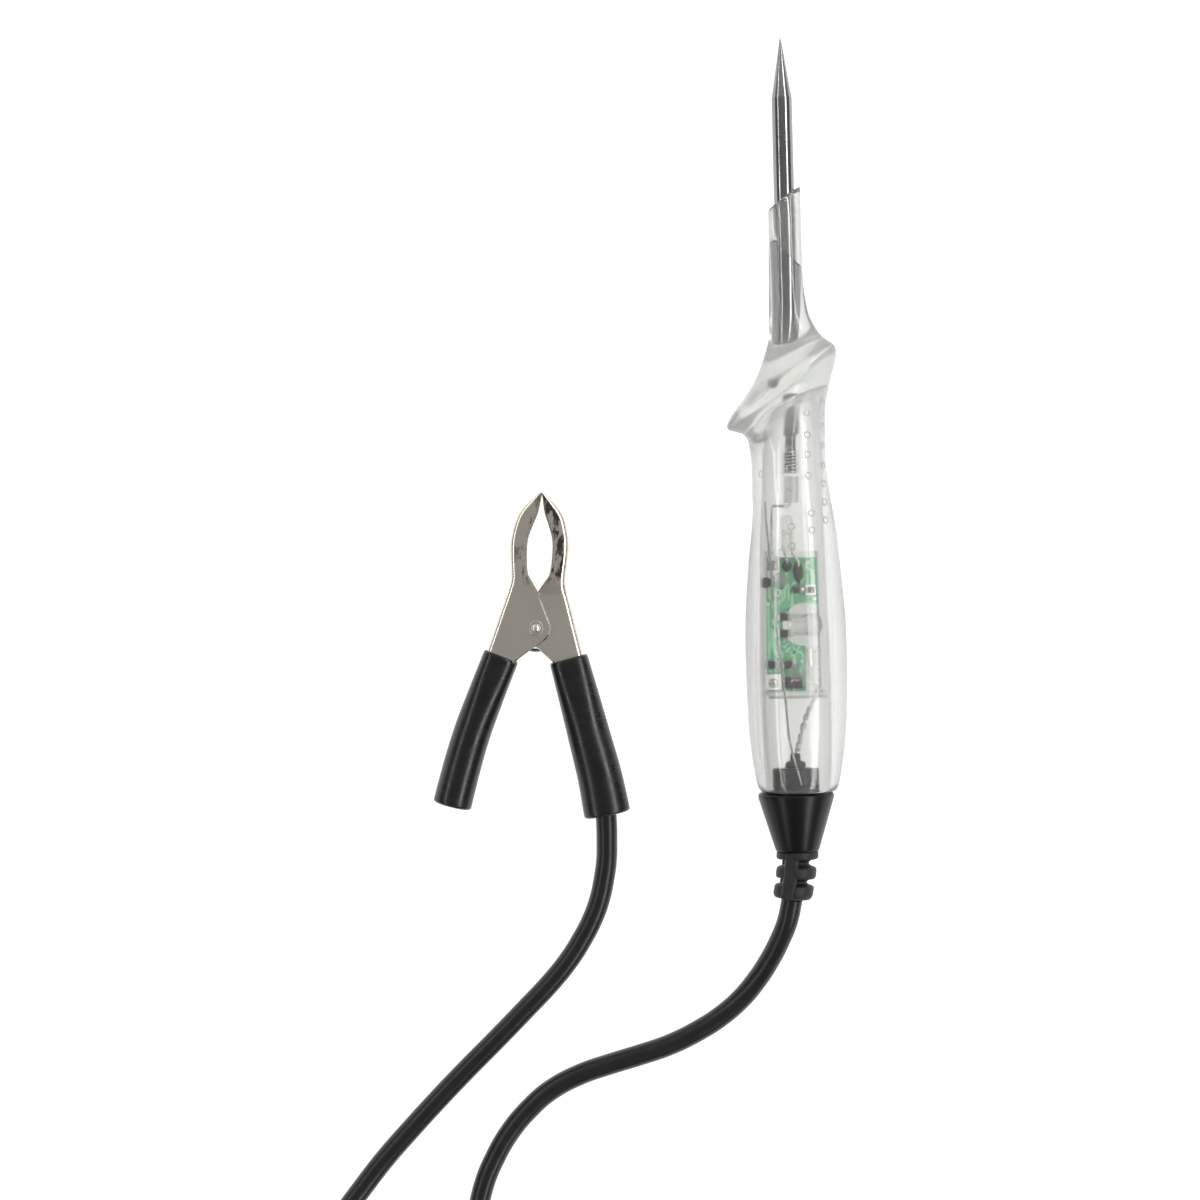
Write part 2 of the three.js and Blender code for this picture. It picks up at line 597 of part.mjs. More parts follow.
// The folded channel: the outline at full width, hollowed from its open side below the nose's tip.
function channel(edges, half) {
  const noseClosed = 28;
  const web = edges.outer.filter((p) => p.y < noseClosed)
    .map((p) => new THREE.Vector2(p.x + SHEET * 1.05, p.y));
  const end = web.at(-1);
  const pocket = new THREE.Shape([
    ...web, new THREE.Vector2(end.x - 2, end.y - 10),
    new THREE.Vector2(20, -60), new THREE.Vector2(20, noseClosed),
  ]);
  return cut(slab(jawShape(edges), -half, half), slab(pocket, -half + SHEET, half - SHEET));
}

const mirrored = (geometry) => geometry.clone().scale(-1, 1, 1);

function buildJaws() {
  const holeRadius = RIVET_RADIUS + GAP;
  const hole = new THREE.CylinderGeometry(holeRadius, holeRadius, 20, 16).rotateX(Math.PI / 2);

  addToClip('clip_jaw_moving', platedSteel, cut(channel(jawEdges(0.93), OUTER_HALF), hole));

  // the fixed jaw is narrower below a step, so that it nests in the other one
  const stepY = 10.2;
  const below = block(80, 80, 40, 0, stepY - 40, 0);
  const above = block(80, 80, 40, 0, stepY + 40, 0);
  const edges = jawEdges(0.7);
  const nose = cut(channel(edges, OUTER_HALF), below);
  const rear = cut(channel(edges, INNER_HALF), above);
  const stepPlate = (fromZ, toZ) => cut(
    slab(jawShape(edges), fromZ, toZ), block(80, 80, 40, 0, stepY + 40.8, 0), below,
  );
  const steps = [stepPlate(INNER_HALF - SHEET, OUTER_HALF), stepPlate(-OUTER_HALF, SHEET - INNER_HALF)];
  addToClip('clip_jaw_fixed', platedSteel, mirrored(cut(join(nose, rear, ...steps), hole)));

  const head = (side) => [
    [RIVET_RADIUS, side * (OUTER_HALF + GAP)], [1.8, side * (OUTER_HALF + GAP)],
    [1.8, side * (OUTER_HALF + GAP + 0.2)], [1.25, side * (OUTER_HALF + GAP + 0.25)],
    [0.9, side * (OUTER_HALF + GAP + 0.7)], [0, side * (OUTER_HALF + GAP + 0.85)],
  ];
  addToClip('clip_rivet', platedSteel, turned([...head(-1).reverse(), ...head(1)], 0, 0, 18)
    .rotateX(Math.PI / 2));
}

// ---------------------------------------------------------------- the clip's spring and grips

function buildSpring() {
  const halfWidth = 1.15;
  const turns = 2.5;
  const leg = [[15.0, -23], [12.9, -16.2], [9.3, -10], [6.4, -5.2]];
  const coil = [];
  for (let i = 0; i <= 39; i += 1) {
    const t = i / 40;
    const angle = t * turns * 2 * Math.PI;
    const z = halfWidth * (2 * t - 1);
    coil.push([SPRING_RADIUS * Math.cos(angle), SPRING_RADIUS * Math.sin(angle), z]);
  }
  addToClip('clip_spring', springSteel, swept([
    ...leg.map(([x, y]) => [x, y, -halfWidth]), ...coil,
  ], SPRING_WIRE, 70, 7));

  // the other leg turns with the moving jaw, just clear of the coil
  const legZ = halfWidth + 0.05;
  addToClip('clip_spring_leg', springSteel, swept([
    [-SPRING_RADIUS, -0.45, legZ], ...[...leg].reverse().map(([x, y]) => [-x, y, legZ]),
  ], SPRING_WIRE, 12, 7));
}

// A sleeve along the handle line. A ring of 4 points is a rectangle; with more points and a
// corner power near 1 it is an ellipse, and nearer 0 it is a rounded rectangle.
function sleeveAlong(side, widths, halfDepth, [from, to], points, corner) {
  const count = 9;
  const spare = 39; // millimetres per unit beyond the line's ends
  const line = new THREE.SplineCurve(HANDLE_LINE.map(([x, y]) => new THREE.Vector2(side * x, y)));
  const rings = [];
  for (let i = 0; i < count; i += 1) {
    const t = THREE.MathUtils.lerp(from, to, i / (count - 1));
    const inside = THREE.MathUtils.clamp(t, 0, 1);
    const ahead = line.getTangent(inside);
    const centre = line.getPoint(inside).add(ahead.clone().multiplyScalar((t - inside) * spare));
    const across = new THREE.Vector2(-ahead.y, ahead.x);
    const half = THREE.MathUtils.lerp(widths[0], widths[1], inside);
    const ring = [];
    for (let j = 0; j < points; j += 1) {
      const angle = ((j + 0.5) / points) * 2 * Math.PI;
      const round = (value) => Math.sign(value) * Math.abs(value) ** corner;
      const place = across.clone().multiplyScalar(half * round(Math.cos(angle))).add(centre);
      ring.push(new THREE.Vector3(place.x, place.y, halfDepth * round(Math.sin(angle))));
    }
    rings.push(ring);
  }
  return loft(rings);
}

function buildGrips() {
  const grips = [
    { name: 'clip_grip_moving', side: -1, widths: [4.6, 4.3], pocket: 3.25 },
    { name: 'clip_grip_fixed', side: 1, widths: [4.9, 5.4], pocket: 3.8 },
  ];
  for (const { name, side, widths, pocket } of grips) {
    const outside = sleeveAlong(side, widths, GRIP_HALF, [0, 1], 20, 0.6);
    const inside = sleeveAlong(side, [4.0, pocket], OUTER_HALF + GAP, [-0.08, 1.08], 4, 0);
    addToClip(name, gripVinyl, cut(outside, inside));
  }
}

// The lead's end in the fixed grip: jacket, bare conductor and a crimped ferrule.
function buildClipTermination() {
  const line = new THREE.SplineCurve(HANDLE_LINE.map(([x, y]) => new THREE.Vector2(x, y)));
  const at = (t) => [...line.getPoint(t), 0];
  addToClip('cable_clip_end', cordJacket, swept([at(0.79), at(0.9), at(1.0)], CORD_DIAMETER - 0.2, 4, 10));
  addToClip('clip_conductor', tinnedWire, swept([at(0.62), at(0.7), at(0.78)], 1.3, 4, 8));
  addToClip('cable_crimp', tinnedWire, cut(
    swept([at(0.63), at(0.66), at(0.69)], 3.0, 2, 10), swept([at(0.6), at(0.66), at(0.72)], 1.9, 2, 10),
  ));
}

buildNeedle();
buildHousing();
buildBoard();
buildBoardParts();
buildCarrier();
buildWires();
buildTail();
buildCord();
buildJaws();
buildSpring();
buildGrips();
buildClipTermination();

export default group;
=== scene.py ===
"""Looks of the circuit test light: a steel needle in a clear handle with two lamps on a small board,
a flexible lead and a spring clip with vinyl grips. Lengths are written in millimetres, as in the CAD,
and mesh() turns them into metres."""

from math import asin, atan2, copysign, cos, pi, radians, sin, sqrt

import bmesh
import bpy
from mathutils import Matrix, Vector


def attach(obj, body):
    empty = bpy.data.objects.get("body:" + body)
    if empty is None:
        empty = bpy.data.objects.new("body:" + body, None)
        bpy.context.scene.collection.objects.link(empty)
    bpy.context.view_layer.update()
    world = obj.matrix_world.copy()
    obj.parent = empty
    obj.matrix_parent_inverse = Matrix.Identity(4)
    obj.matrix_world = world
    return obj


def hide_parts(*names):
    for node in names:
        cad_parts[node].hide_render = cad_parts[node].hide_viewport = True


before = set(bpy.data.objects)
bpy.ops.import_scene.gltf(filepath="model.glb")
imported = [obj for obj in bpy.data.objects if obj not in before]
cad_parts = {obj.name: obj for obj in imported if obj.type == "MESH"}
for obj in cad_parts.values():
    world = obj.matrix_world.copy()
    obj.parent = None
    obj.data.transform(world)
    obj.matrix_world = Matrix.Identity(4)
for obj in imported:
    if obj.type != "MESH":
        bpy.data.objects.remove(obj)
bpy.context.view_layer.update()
scene = bpy.context.scene
scene.view_settings.view_transform = "Standard"

MM = 0.001
TAU = 2 * pi
WELD = 1e-7
GRAIN_DEPTH = 0.0002
RIPPLE_DEPTH = 0.0003
MURK_DENSITY = 100
NOSE_BAND = (-0.0275, -0.0245)
SHADOW_TINT = (0.94, 0.94, 0.94, 1)
TARNISH = (0.03, 0.03, 0.03, 1)
shift = Matrix.Translation
UPRIGHT = Matrix.Rotation(pi / 2, 4, "X")
SIDEWAYS = Matrix.Rotation(-pi / 2, 4, "Z")

# ---- dimensions, as in the CAD

AXIS_X = 1.22
AXIS_Z = 12.4
TIP_Y = 105.15
RIM_Y = -78.7
TAIL_X = 0.6
NEEDLE_RADIUS = 2.5
BOARD_FRONT_Z = 11.8
BOARD_THICKNESS = 1.2
BOARD_MID_Z = BOARD_FRONT_Z - BOARD_THICKNESS / 2
LAMP_Y = -38.3
CORD_DIAMETER = 5.2
FLOOR_Z = -0.15

CLIP_PIVOT = Vector((-62.1, -37.5, 4.8))
CLIP_TURN = radians(-3.85)
CLIP = shift(CLIP_PIVOT) @ Matrix.Rotation(CLIP_TURN, 4, "Z")
OUTER_HALF = 3.6
INNER_HALF = 2.5
SHEET = 0.8

# ---- camera


def add_object(name, data):
    thing = bpy.data.objects.new(name, data)
    scene.collection.objects.link(thing)
    return thing


camera = add_object("camera", bpy.data.cameras.new("camera"))
camera.location = (-0.04615, -0.03092, 0.550)
camera.rotation_euler = (0, 0, radians(-1.403))
camera.data.lens = 66
camera.data.sensor_width = 36
scene.camera = camera

# ---- node helpers


SLOTS = {}


class Nodes:
    """A new material's node tree, or the given tree, with short calls for the nodes that are shared.
    The name meant for a material's slot, its own unless another is given, is kept in SLOTS."""

    def __init__(self, name, slot=None, tree=None):
        if not tree:
            self.material = bpy.data.materials.new(name)
            self.material.use_nodes = True
            SLOTS[self.material] = slot or name
            tree = self.material.node_tree
            self.shader = tree.nodes["Principled BSDF"]
        self.tree = tree
        self.coords = self.new("TexCoord")

    def new(self, kind, **inputs):
        node = self.tree.nodes.new("ShaderNode" + kind)
        for key, value in inputs.items():
            node.inputs[key.replace("_", " ")].default_value = value
        return node

    def link(self, out, into):
        self.tree.links.new(out, into)

    def place(self, stretch=(1, 1, 1)):
        mapping = self.new("Mapping")
        mapping.inputs["Scale"].default_value = stretch
        self.link(self.coords.outputs["Object"], mapping.inputs["Vector"])
        return mapping.outputs["Vector"]

    def noise(self, scale, detail=4, roughness=0.55, stretch=(1, 1, 1)):
        node = self.new("TexNoise", Scale=scale, Detail=detail, Roughness=roughness)
        self.link(self.place(stretch), node.inputs["Vector"])
        return node.outputs["Fac"]

    def ramp(self, source, stops):
        node = self.new("ValToRGB")
        band = node.color_ramp
        while len(band.elements) < len(stops):
            band.elements.new(0.5)
        for element, (at, value) in zip(band.elements, stops):
            element.position = at
            rgb = value if isinstance(value, tuple) else (value,) * 3
            element.color = (*rgb, 1)
        self.link(source, node.inputs["Fac"])
        return node.outputs["Color"]

    def bump(self, source, strength, distance, normal=None):
        node = self.new("Bump", Strength=strength, Distance=distance)
        self.link(source, node.inputs["Height"])
        if normal:
            self.link(normal, node.inputs["Normal"])
        return node.outputs["Normal"]

    def scaled(self, source, low, high):
        """The share of source between low and high, from 0 to 1."""
        node = self.new("MapRange", From_Min=low, From_Max=high)
        self.link(source, node.inputs["Value"])
        return node.outputs["Result"]

    def split(self, source):
        node = self.new("SeparateXYZ")
        self.link(source, node.inputs[0])
        return node.outputs

    def blend(self, a, b, mode="MIX", factor=1):
        """Colour b over colour a. b and factor are numbers or sources."""
        node = self.new("Mix")
        node.data_type = "RGBA"
        node.blend_type = mode
        self.link(a, node.inputs["A"])
        for key, value in (("B", b), ("Factor", factor)):
            if isinstance(value, bpy.types.NodeSocket):
                self.link(value, node.inputs[key])
            else:
                node.inputs[key].default_value = value
        return node.outputs["Result"]

    def set(self, **values):
        for key, value in values.items():
            self.shader.inputs[key.replace("_", " ")].default_value = value

    def feed(self, **sources):
        for key, source in sources.items():
            self.link(source, self.shader.inputs[key.replace("_", " ")])


def grained(name, dark, light, rough, scale, bump, metal=0, stretch=(1, 1, 1), slot=None, **extra):
    """A surface whose colour drifts from dark to light, with a matching drift in gloss and a fine grain."""
    n = Nodes(name, slot)
    drift = n.noise(scale, stretch=stretch)
    fine = n.noise(scale * 7, 3, 0.6, stretch)
    n.feed(Base_Color=n.ramp(drift, [(0.3, dark), (0.7, light)]),
           Roughness=n.ramp(fine, [(0.3, rough[0]), (0.7, rough[1])]),
           Normal=n.bump(fine, bump, GRAIN_DEPTH))
    n.set(Metallic=metal, **extra)
    return n.material


def clear(name, tint, ior, rough, ripple, scale=150, murk=None, haze=0, gloss=0.5, housing=False,
          slot="clear_plastic"):
    """A clear plastic with moulding ripples. Light for shadows passes straight through it.
    murk is the colour that its thickness takes on, and haze the share of light that it scatters.
    The housing has painted shade: greyer on its left, where its own shadow is seen through it, and darker
    where its walls are seen edge-on. Its finger guard is a little frosted."""
    n = Nodes(name, slot)
    wave = n.noise(scale, 2, 0.5, (1, 0.35, 1))
    tone = n.ramp(wave, [(0.3, tuple(0.985 * c for c in tint)), (0.7, tint)])
    n.feed(Normal=n.bump(wave, ripple, RIPPLE_DEPTH))
    n.set(Roughness=rough, IOR=ior, Transmission_Weight=1 - haze, Specular_IOR_Level=gloss)
    if housing:
        place = n.split(n.coords.outputs["Object"])
        height = n.scaled(place["Y"], -0.02, 0.08)
        n.feed(Roughness=n.ramp(height, [
                   (0, rough), (0.22, rough), (0.33, 0.24), (0.5, 0.24), (0.6, 0.08), (1, 0.06)]),
               Transmission_Weight=n.ramp(height, [
                   (0, 1 - haze), (0.25, 0.95), (0.36, 0.82), (0.5, 0.82), (0.6, 0.92), (1, 0.92)]))
        # painted shade: the colour darkens on the left, under the housing's own shadow, and where the walls
        # are seen edge-on
        facing = n.new("LayerWeight", Blend=0.5)
        for shade in (n.ramp(n.scaled(place["X"], -0.008, 0.010), [(0, 0.9), (1, 1)]),
                      n.ramp(facing.outputs["Facing"], [(0.2, 1), (0.7, 0.5)])):
            tone = n.blend(tone, shade, "MULTIPLY")
    n.feed(Base_Color=tone)
    output = n.tree.nodes["Material Output"]
    if murk:
        absorb = n.new("VolumeAbsorption", Color=(*murk, 1), Density=MURK_DENSITY)
        n.link(absorb.outputs[0], output.inputs["Volume"])
    mix = n.new("MixShader")
    for i, source in enumerate((n.new("LightPath").outputs["Is Shadow Ray"], n.shader.outputs[0],
                                n.new("BsdfTransparent", Color=SHADOW_TINT).outputs[0])):
        n.link(source, mix.inputs[i])
    n.link(mix.outputs[0], output.inputs["Surface"])
    return n.material


# ---- materials

NEEDLE = grained("needle_steel", (0.26, 0.262, 0.265), 0.34, (0.10, 0.17), 300, 0.05, 1,
                 stretch=(1, 0.1, 1))
HOUSING_PLASTIC = clear("clear_plastic", (0.84, 0.845, 0.83), 1.49, 0.1, 0.002, scale=90,
                        murk=(0.915, 0.92, 0.905), haze=0.04, gloss=0.8, housing=True)
PIP_PLASTIC = clear("clear_plastic_pips", (0.70, 0.70, 0.69), 1.35, 0.1, 0.05, haze=0.15)
INNER_PLASTIC = clear("clear_plastic_inner", (0.88, 0.885, 0.875), 1.49, 0.3, 0.2, haze=0.05)
STAKE_PLASTIC = clear("clear_plastic_stakes", (0.66, 0.66, 0.65), 1.49, 0.12, 0.2, haze=0.1)
EPOXY = clear("lamp_epoxy", (0.93, 0.93, 0.925), 1.45, 0.03, 0.02, slot="lamp_epoxy")
SPRING = grained("spring_steel", 0.30, (0.5, 0.5, 0.49), (0.2, 0.35), 700, 0.1, 1)
TINNED = grained("tinned_wire", (0.62, 0.62, 0.6), (0.86, 0.86, 0.84), (0.15, 0.35), 900, 0.15, 1)
SOLDER = grained("solder", (0.45, 0.45, 0.44), (0.95, 0.95, 0.94), (0.06, 0.25), 1200, 0.25, 0.8)
# painted shade: a darkened copy of the solder, for the joints under the small lamp and the bead on the wire
SOLDER_DARK = grained("solder_shaded", (0.025, 0.025, 0.02), (0.12, 0.12, 0.11), (0.04, 0.10), 1100, 0.25, 0.6,
                      slot="solder")
THIN = grained("thin_wire", (0.35, 0.35, 0.34), (0.6, 0.6, 0.59), (0.15, 0.3), 900, 0.1, 1,
               slot="tinned_wire")
LEADFRAME = grained("lamp_leadframe", (0.72, 0.71, 0.68), (0.86, 0.85, 0.82), (0.2, 0.35), 900, 0.1, 0.35,
                    slot="tinned_wire")
TRACE = grained("board_trace", (0.30, 0.58, 0.37), (0.40, 0.68, 0.47), (0.35, 0.5), 700, 0.15,
                slot="board_green")
PAD = grained("board_pad", (0.74, 0.74, 0.71), (0.88, 0.88, 0.86), (0.25, 0.45), 900, 0.2, 0.6, slot="solder")
CHIP = grained("chip_black", 0.018, (0.045, 0.043, 0.04), (0.35, 0.6), 900, 0.25)
CERAMIC = grained("white_ceramic", (0.78, 0.78, 0.75), (0.88, 0.88, 0.86), (0.3, 0.5), 700, 0.15)
CAP = grained("cap_black", 0.002, (0.004, 0.0038, 0.004), (0.28, 0.36), 260, 0.04, Specular_IOR_Level=0.3)
RELIEF = grained("relief_rubber", (0.008, 0.008, 0.0085), (0.018, 0.0175, 0.018), (0.42, 0.58), 420, 0.25,
                 Specular_IOR_Level=0.4)
JACKET = grained("cord_jacket", (0.007, 0.0068, 0.007), (0.012, 0.0118, 0.012), (0.28, 0.36), 330, 0.06,
                 Specular_IOR_Level=0.4)
TIE = grained("tie_black", 0.012, 0.03, (0.5, 0.7), 900, 0.6)


def vinyl():
    """Glossy dipped vinyl: its skin is a little wavy, so highlights wander and break."""
    n = Nodes("grip_vinyl")
    wave = n.noise(95, 3, 0.5, (1.3, 0.5, 1))
    fine = n.noise(1400, 2, 0.6)
    tick = n.noise(260, 5, 0.7, (0.4, 1.6, 1))
    n.feed(Base_Color=n.ramp(wave, [(0.3, (0.003, 0.0028, 0.003)), (0.7, (0.006, 0.0058, 0.006))]),
           Roughness=n.ramp(tick, [(0.4, 0.25), (0.66, 0.36)]),
           Normal=n.bump(fine, 0.02, 0.0001, n.bump(wave, 0.07, 0.001)))
    n.set(Specular_IOR_Level=0.5)
    return n.material


VINYL = vinyl()


def plated(name, smudges, stretch, ink):
    """Nickel plating, warm grey, with a fine speckle and dark tarnished marks on the nose.
    smudges is how rare the marks are, stretch their shape and ink how deep they are."""
    n = Nodes(name, "plated_steel")
    speckle = n.noise(3200, 2, 0.7)
    cloud = n.noise(55, 5, 0.6)
    dark = n.noise(260, 6, 0.7, stretch)
    base = n.ramp(cloud, [(0.35, (0.74, 0.69, 0.60)), (0.65, (0.80, 0.75, 0.66))])
    patches = n.ramp(dark, [(smudges, 0), (smudges + 0.05, ink)])
    # the tarnish is on the nose, above the pivot, and on the flat faces
    for share in (n.scaled(n.split(n.coords.outputs["Object"])["Y"], *NOSE_BAND),
                  n.scaled(n.split(n.coords.outputs["Normal"])["Z"], 0.93, 0.99)):
        both = n.new("Math")
        both.operation = "MULTIPLY"
        n.link(patches, both.inputs[0])
        n.link(share, both.inputs[1])
        patches = both.outputs["Value"]
    n.feed(Base_Color=n.blend(base, TARNISH, factor=patches),
           Roughness=n.ramp(speckle, [(0.3, 0.20), (0.7, 0.28)]),
           Normal=n.bump(cloud, 0.02, GRAIN_DEPTH))
    n.set(Metallic=1)
    return n.material


PLATED = plated("plated_steel", 0.54, (2.2, 0.4, 1), 0.6)
PLATED_WORN = plated("plated_steel_worn", 0.485, (1.7, 0.6, 1), 0.9)
PLATED_BRIGHT = grained("plated_steel_rivet", (0.72, 0.70, 0.66), (0.80, 0.78, 0.74), (0.26, 0.32), 300, 0,
                        1, slot="plated_steel")


def board_material():
    """Green solder mask over glass cloth: a fine weave under the colour, and a glossy uneven skin."""
    n = Nodes("board_green")
    weave = n.new("TexWave", Scale=900, Distortion=0.6, Detail=1)
    n.link(n.place(), weave.inputs["Vector"])
    cloud = n.noise(240, 4, 0.6)
    n.feed(Base_Color=n.ramp(cloud, [(0.35, (0.125, 0.345, 0.19)), (0.65, (0.17, 0.41, 0.235))]),
           Roughness=n.ramp(cloud, [(0.3, 0.3), (0.7, 0.45)]),
           Normal=n.bump(weave.outputs["Fac"], 0.12, 0.0001))
    return n.material


BOARD = board_material()

# ---- mesh helpers


def mesh(name, shape, material, body="tester", nodes=(), sharp=35, bevel=0, segments=2, place=None,
         slot=None):
    """One piece from a Shape in millimetres, moved by place. It rides on body and replaces nodes."""
    data = bpy.data.meshes.new(name)
    placed = [place @ p for p in shape.points] if place else shape.points
    data.from_pydata([p * MM for p in placed], [], shape.faces)
    edit = bmesh.new()
    edit.from_mesh(data)
    bmesh.ops.remove_doubles(edit, verts=edit.verts, dist=WELD)
    bmesh.ops.recalc_face_normals(edit, faces=edit.faces)
    edit.to_mesh(data)
    edit.free()
    data.shade_smooth()
    data.set_sharp_from_angle(angle=radians(sharp))
    data.materials.append(material)
    piece = add_object(name, data)
    if bevel:
        modifier = piece.modifiers.new("edges", "BEVEL")
        modifier.width = bevel * MM
        modifier.segments = segments
        modifier.limit_method = "ANGLE"
        modifier.angle_limit = radians(sharp)
    slot = slot or SLOTS[material]
    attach(piece, body)
    if nodes:
        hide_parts(*nodes)
    return piece


class Shape:
    """Points and faces of one or more closed bodies that become one piece."""

    def __init__(self):
        self.points = []
        self.faces = []

    def add(self, points, faces):
        first = len(self.points)
        self.points += [Vector(p) for p in points]
        self.faces += [[first + i for i in face] for face in faces]
        return self

    def moved(self, move):
        self.points = [move(p) for p in self.points]
        return self

    def loft(self, rings, caps=True, loop=False):
        """Rings with the same number of points, joined in order, with a fan at each end."""
        n = len(rings[0])
        points = [p for ring in rings for p in ring]
        faces = []
        spans = len(rings) if loop else len(rings) - 1
        for i in range(spans):
            for j in range(n):
                a, b = i * n + j, i * n + (j + 1) % n
                step = ((i + 1) % len(rings)) * n
                faces.append([a, b, step + (j + 1) % n, step + j])
        if caps and not loop:
            for index in (0, len(rings) - 1):
                middle = len(points)
                ring = rings[index]
                points.append(sum((Vector(p) for p in ring), Vector()) / n)
                faces += [[middle, index * n + j, index * n + (j + 1) % n] for j in range(n)]
        return self.add(points, faces)

    def turned(self, profile, x=AXIS_X, z=AXIS_Z, sides=64, place=None):
        """A body of revolution about the line x, z along Y, or about the Y axis and then moved by place."""
        if place:
            x = z = 0
        rings = []
        for r, y in profile:
            ring = [Vector((u + x, y, v + z)) for u, v in circle(max(r, 1e-4), sides)]
            rings.append([place @ p for p in ring] if place else ring)
        return self.loft(rings)

    def prism(self, outline, low, high):
        n = len(outline)
        points = [(x, y, z) for z in (low, high) for x, y in outline]
        sides = [[j, (j + 1) % n, n + (j + 1) % n, n + j] for j in range(n)]
        return self.add(points, [list(range(n)), list(range(n, 2 * n)), *sides])

    def box(self, centre, size):
        cx, cy, cz = centre
        hx, hy, hz = (side / 2 for side in size)
        corners = [(cx - hx, cy - hy), (cx + hx, cy - hy), (cx + hx, cy + hy), (cx - hx, cy + hy)]
        return self.prism(corners, cz - hz, cz + hz)

    def sweep(self, points, radius, sides=12, caps=True):
        """A round wire along points. radius is a number or a function of the share along the wire."""
        points = [Vector(p) for p in points]
        last = len(points) - 1
        tangents = [(points[min(i + 1, last)] - points[max(i - 1, 0)]).normalized() for i in range(last + 1)]
        side = tangents[0].orthogonal().normalized()
        rings = []
        for i, (p, t) in enumerate(zip(points, tangents)):
            side = (side - t * side.dot(t)).normalized()
            other = t.cross(side)
            r = radius(i / last) if callable(radius) else radius
            rings.append([p + (side * cos(TAU * j / sides) + other * sin(TAU * j / sides)) * r
                          for j in range(sides)])
        return self.loft(rings, caps)


def smooth_line(points, count):
    """count points at even steps of parameter on the Catmull-Rom curve through points."""
    points = [Vector(p) for p in points]
    last = len(points) - 1
    line = []
    for k in range(count):
        at = k / (count - 1) * last
        i = min(int(at), last - 1)
        t = at - i
        b, c = points[i], points[i + 1]
        a = points[i - 1] if i > 0 else b * 2 - c
        d = points[i + 2] if i + 2 <= last else c * 2 - b
        line.append(0.5 * (2 * b + (c - a) * t + (2 * a - 5 * b + 4 * c - d) * t * t
                           + (3 * b - a - 3 * c + d) * t * t * t))
    return line


def along(rows, y, k):
    """Smooth value of column k at y in rows of [y, ...values] that run down the handle."""
    last = len(rows) - 1
    i = 0
    while i < last - 1 and y < rows[i + 1][0]:
        i += 1

    def slope(j):
        if j in (0, last):
            return 0
        before = (rows[j][k] - rows[j - 1][k]) / (rows[j][0] - rows[j - 1][0])
        after = (rows[j + 1][k] - rows[j][k]) / (rows[j + 1][0] - rows[j][0])
        return 0 if before * after <= 0 else 2 * before * after / (before + after)

    step = rows[i + 1][0] - rows[i][0]
    t = min(max((y - rows[i][0]) / step, 0), 1)
    return ((2 * t**3 - 3 * t * t + 1) * rows[i][k] + (t**3 - 2 * t * t + t) * step * slope(i)
            + (3 * t * t - 2 * t**3) * rows[i + 1][k] + (t**3 - t * t) * step * slope(i + 1))


def smoothstep(x, low, high):
    t = min(max((x - low) / (high - low), 0), 1)
    return t * t * (3 - 2 * t)


def steps(start, stop, count):
    return [start + (stop - start) * i / (count - 1) for i in range(count)]


def circle(radius, sides):
    return [(radius * cos(TAU * j / sides), radius * sin(TAU * j / sides)) for j in range(sides)]


def arc(radius, start, stop, count, centre=(0, 0)):
    return [(centre[0] + radius * cos(a), centre[1] + radius * sin(a))
            for a in steps(start, stop, count)]


# ---- the lead

ON_FLOOR = CORD_DIAMETER / 2 + 0.05
COIL_CENTRE = (-117, -235.5)
COIL_RADIUS = 28.8
COIL_LIFT = 0.9
# points of the route; those on the floor are written without their height
HANDLE_RUN = [
    (-0.95, -104.9, 12.35), (-2.1, -110.4, 11.3), (-4, -115.6, 9.2), (-6.5, -120.9, 6.7),
    (-9.6, -126, 4.6), (-13.8, -131.1, 3.2), (-18.8, -135.3), (-23.9, -138.4), (-31.4, -141.9),
    (-39, -144.3), (-46.5, -146.4), (-54, -148.8), (-61.5, -152.6), (-67, -157.2), (-71.8, -162.7),
    (-75.6, -168.9), (-78.5, -175.5), (-80.2, -183), (-80.7, -192), (-80.2, -204), (-79.6, -220),
]
CLIP_RUN = [
    (-45.95, -83.95, 4.8), (-45.85, -87.3, 4.6), (-45.9, -90.8, 4), (-46.1, -95.6, 3), (-46.9, -100.6),
    (-48.1, -105.5), (-50.1, -110.5), (-52.8, -115.4), (-56.1, -120.3), (-60.2, -125.2), (-67.4, -132.5),
    (-74.7, -139.7), (-82.3, -147), (-89.6, -154.3), (-96.6, -161.6), (-103.3, -168.9),
    (-109.6, -176.6, ON_FLOOR + 0.9), (-118, -187, 5.9), (-128.6, -199, 8.5),
]


def coil_points():
    """Seven turns, clockwise from above: four on the floor from the outside in, then three on top."""
    d = CORD_DIAMETER
    low = COIL_LIFT + d / 2
    high = low + 0.87 * d
    slots = [(COIL_RADIUS + 1.5 * d, low), (COIL_RADIUS + 0.5 * d, low), (COIL_RADIUS - 0.5 * d, low),
             (COIL_RADIUS - 1.5 * d, low), (COIL_RADIUS - d, high), (COIL_RADIUS, high),
             (COIL_RADIUS + d, high)]
    turns, per_turn, change = 6.6, 20, 0.2
    points = []
    for k in range(int(turns * per_turn) + 1):
        at = k / per_turn
        turn = min(int(at), len(slots) - 1)
        share = at - turn
        r, z = slots[turn]
        if share > 1 - change and turn + 1 < len(slots):
            ease = smoothstep(share, 1 - change, 1)
            r += (slots[turn + 1][0] - r) * ease
            z += (slots[turn + 1][1] - z) * ease
        angle = -TAU * at
        points.append((COIL_CENTRE[0] + r * cos(angle), COIL_CENTRE[1] + r * sin(angle), z))
    return points


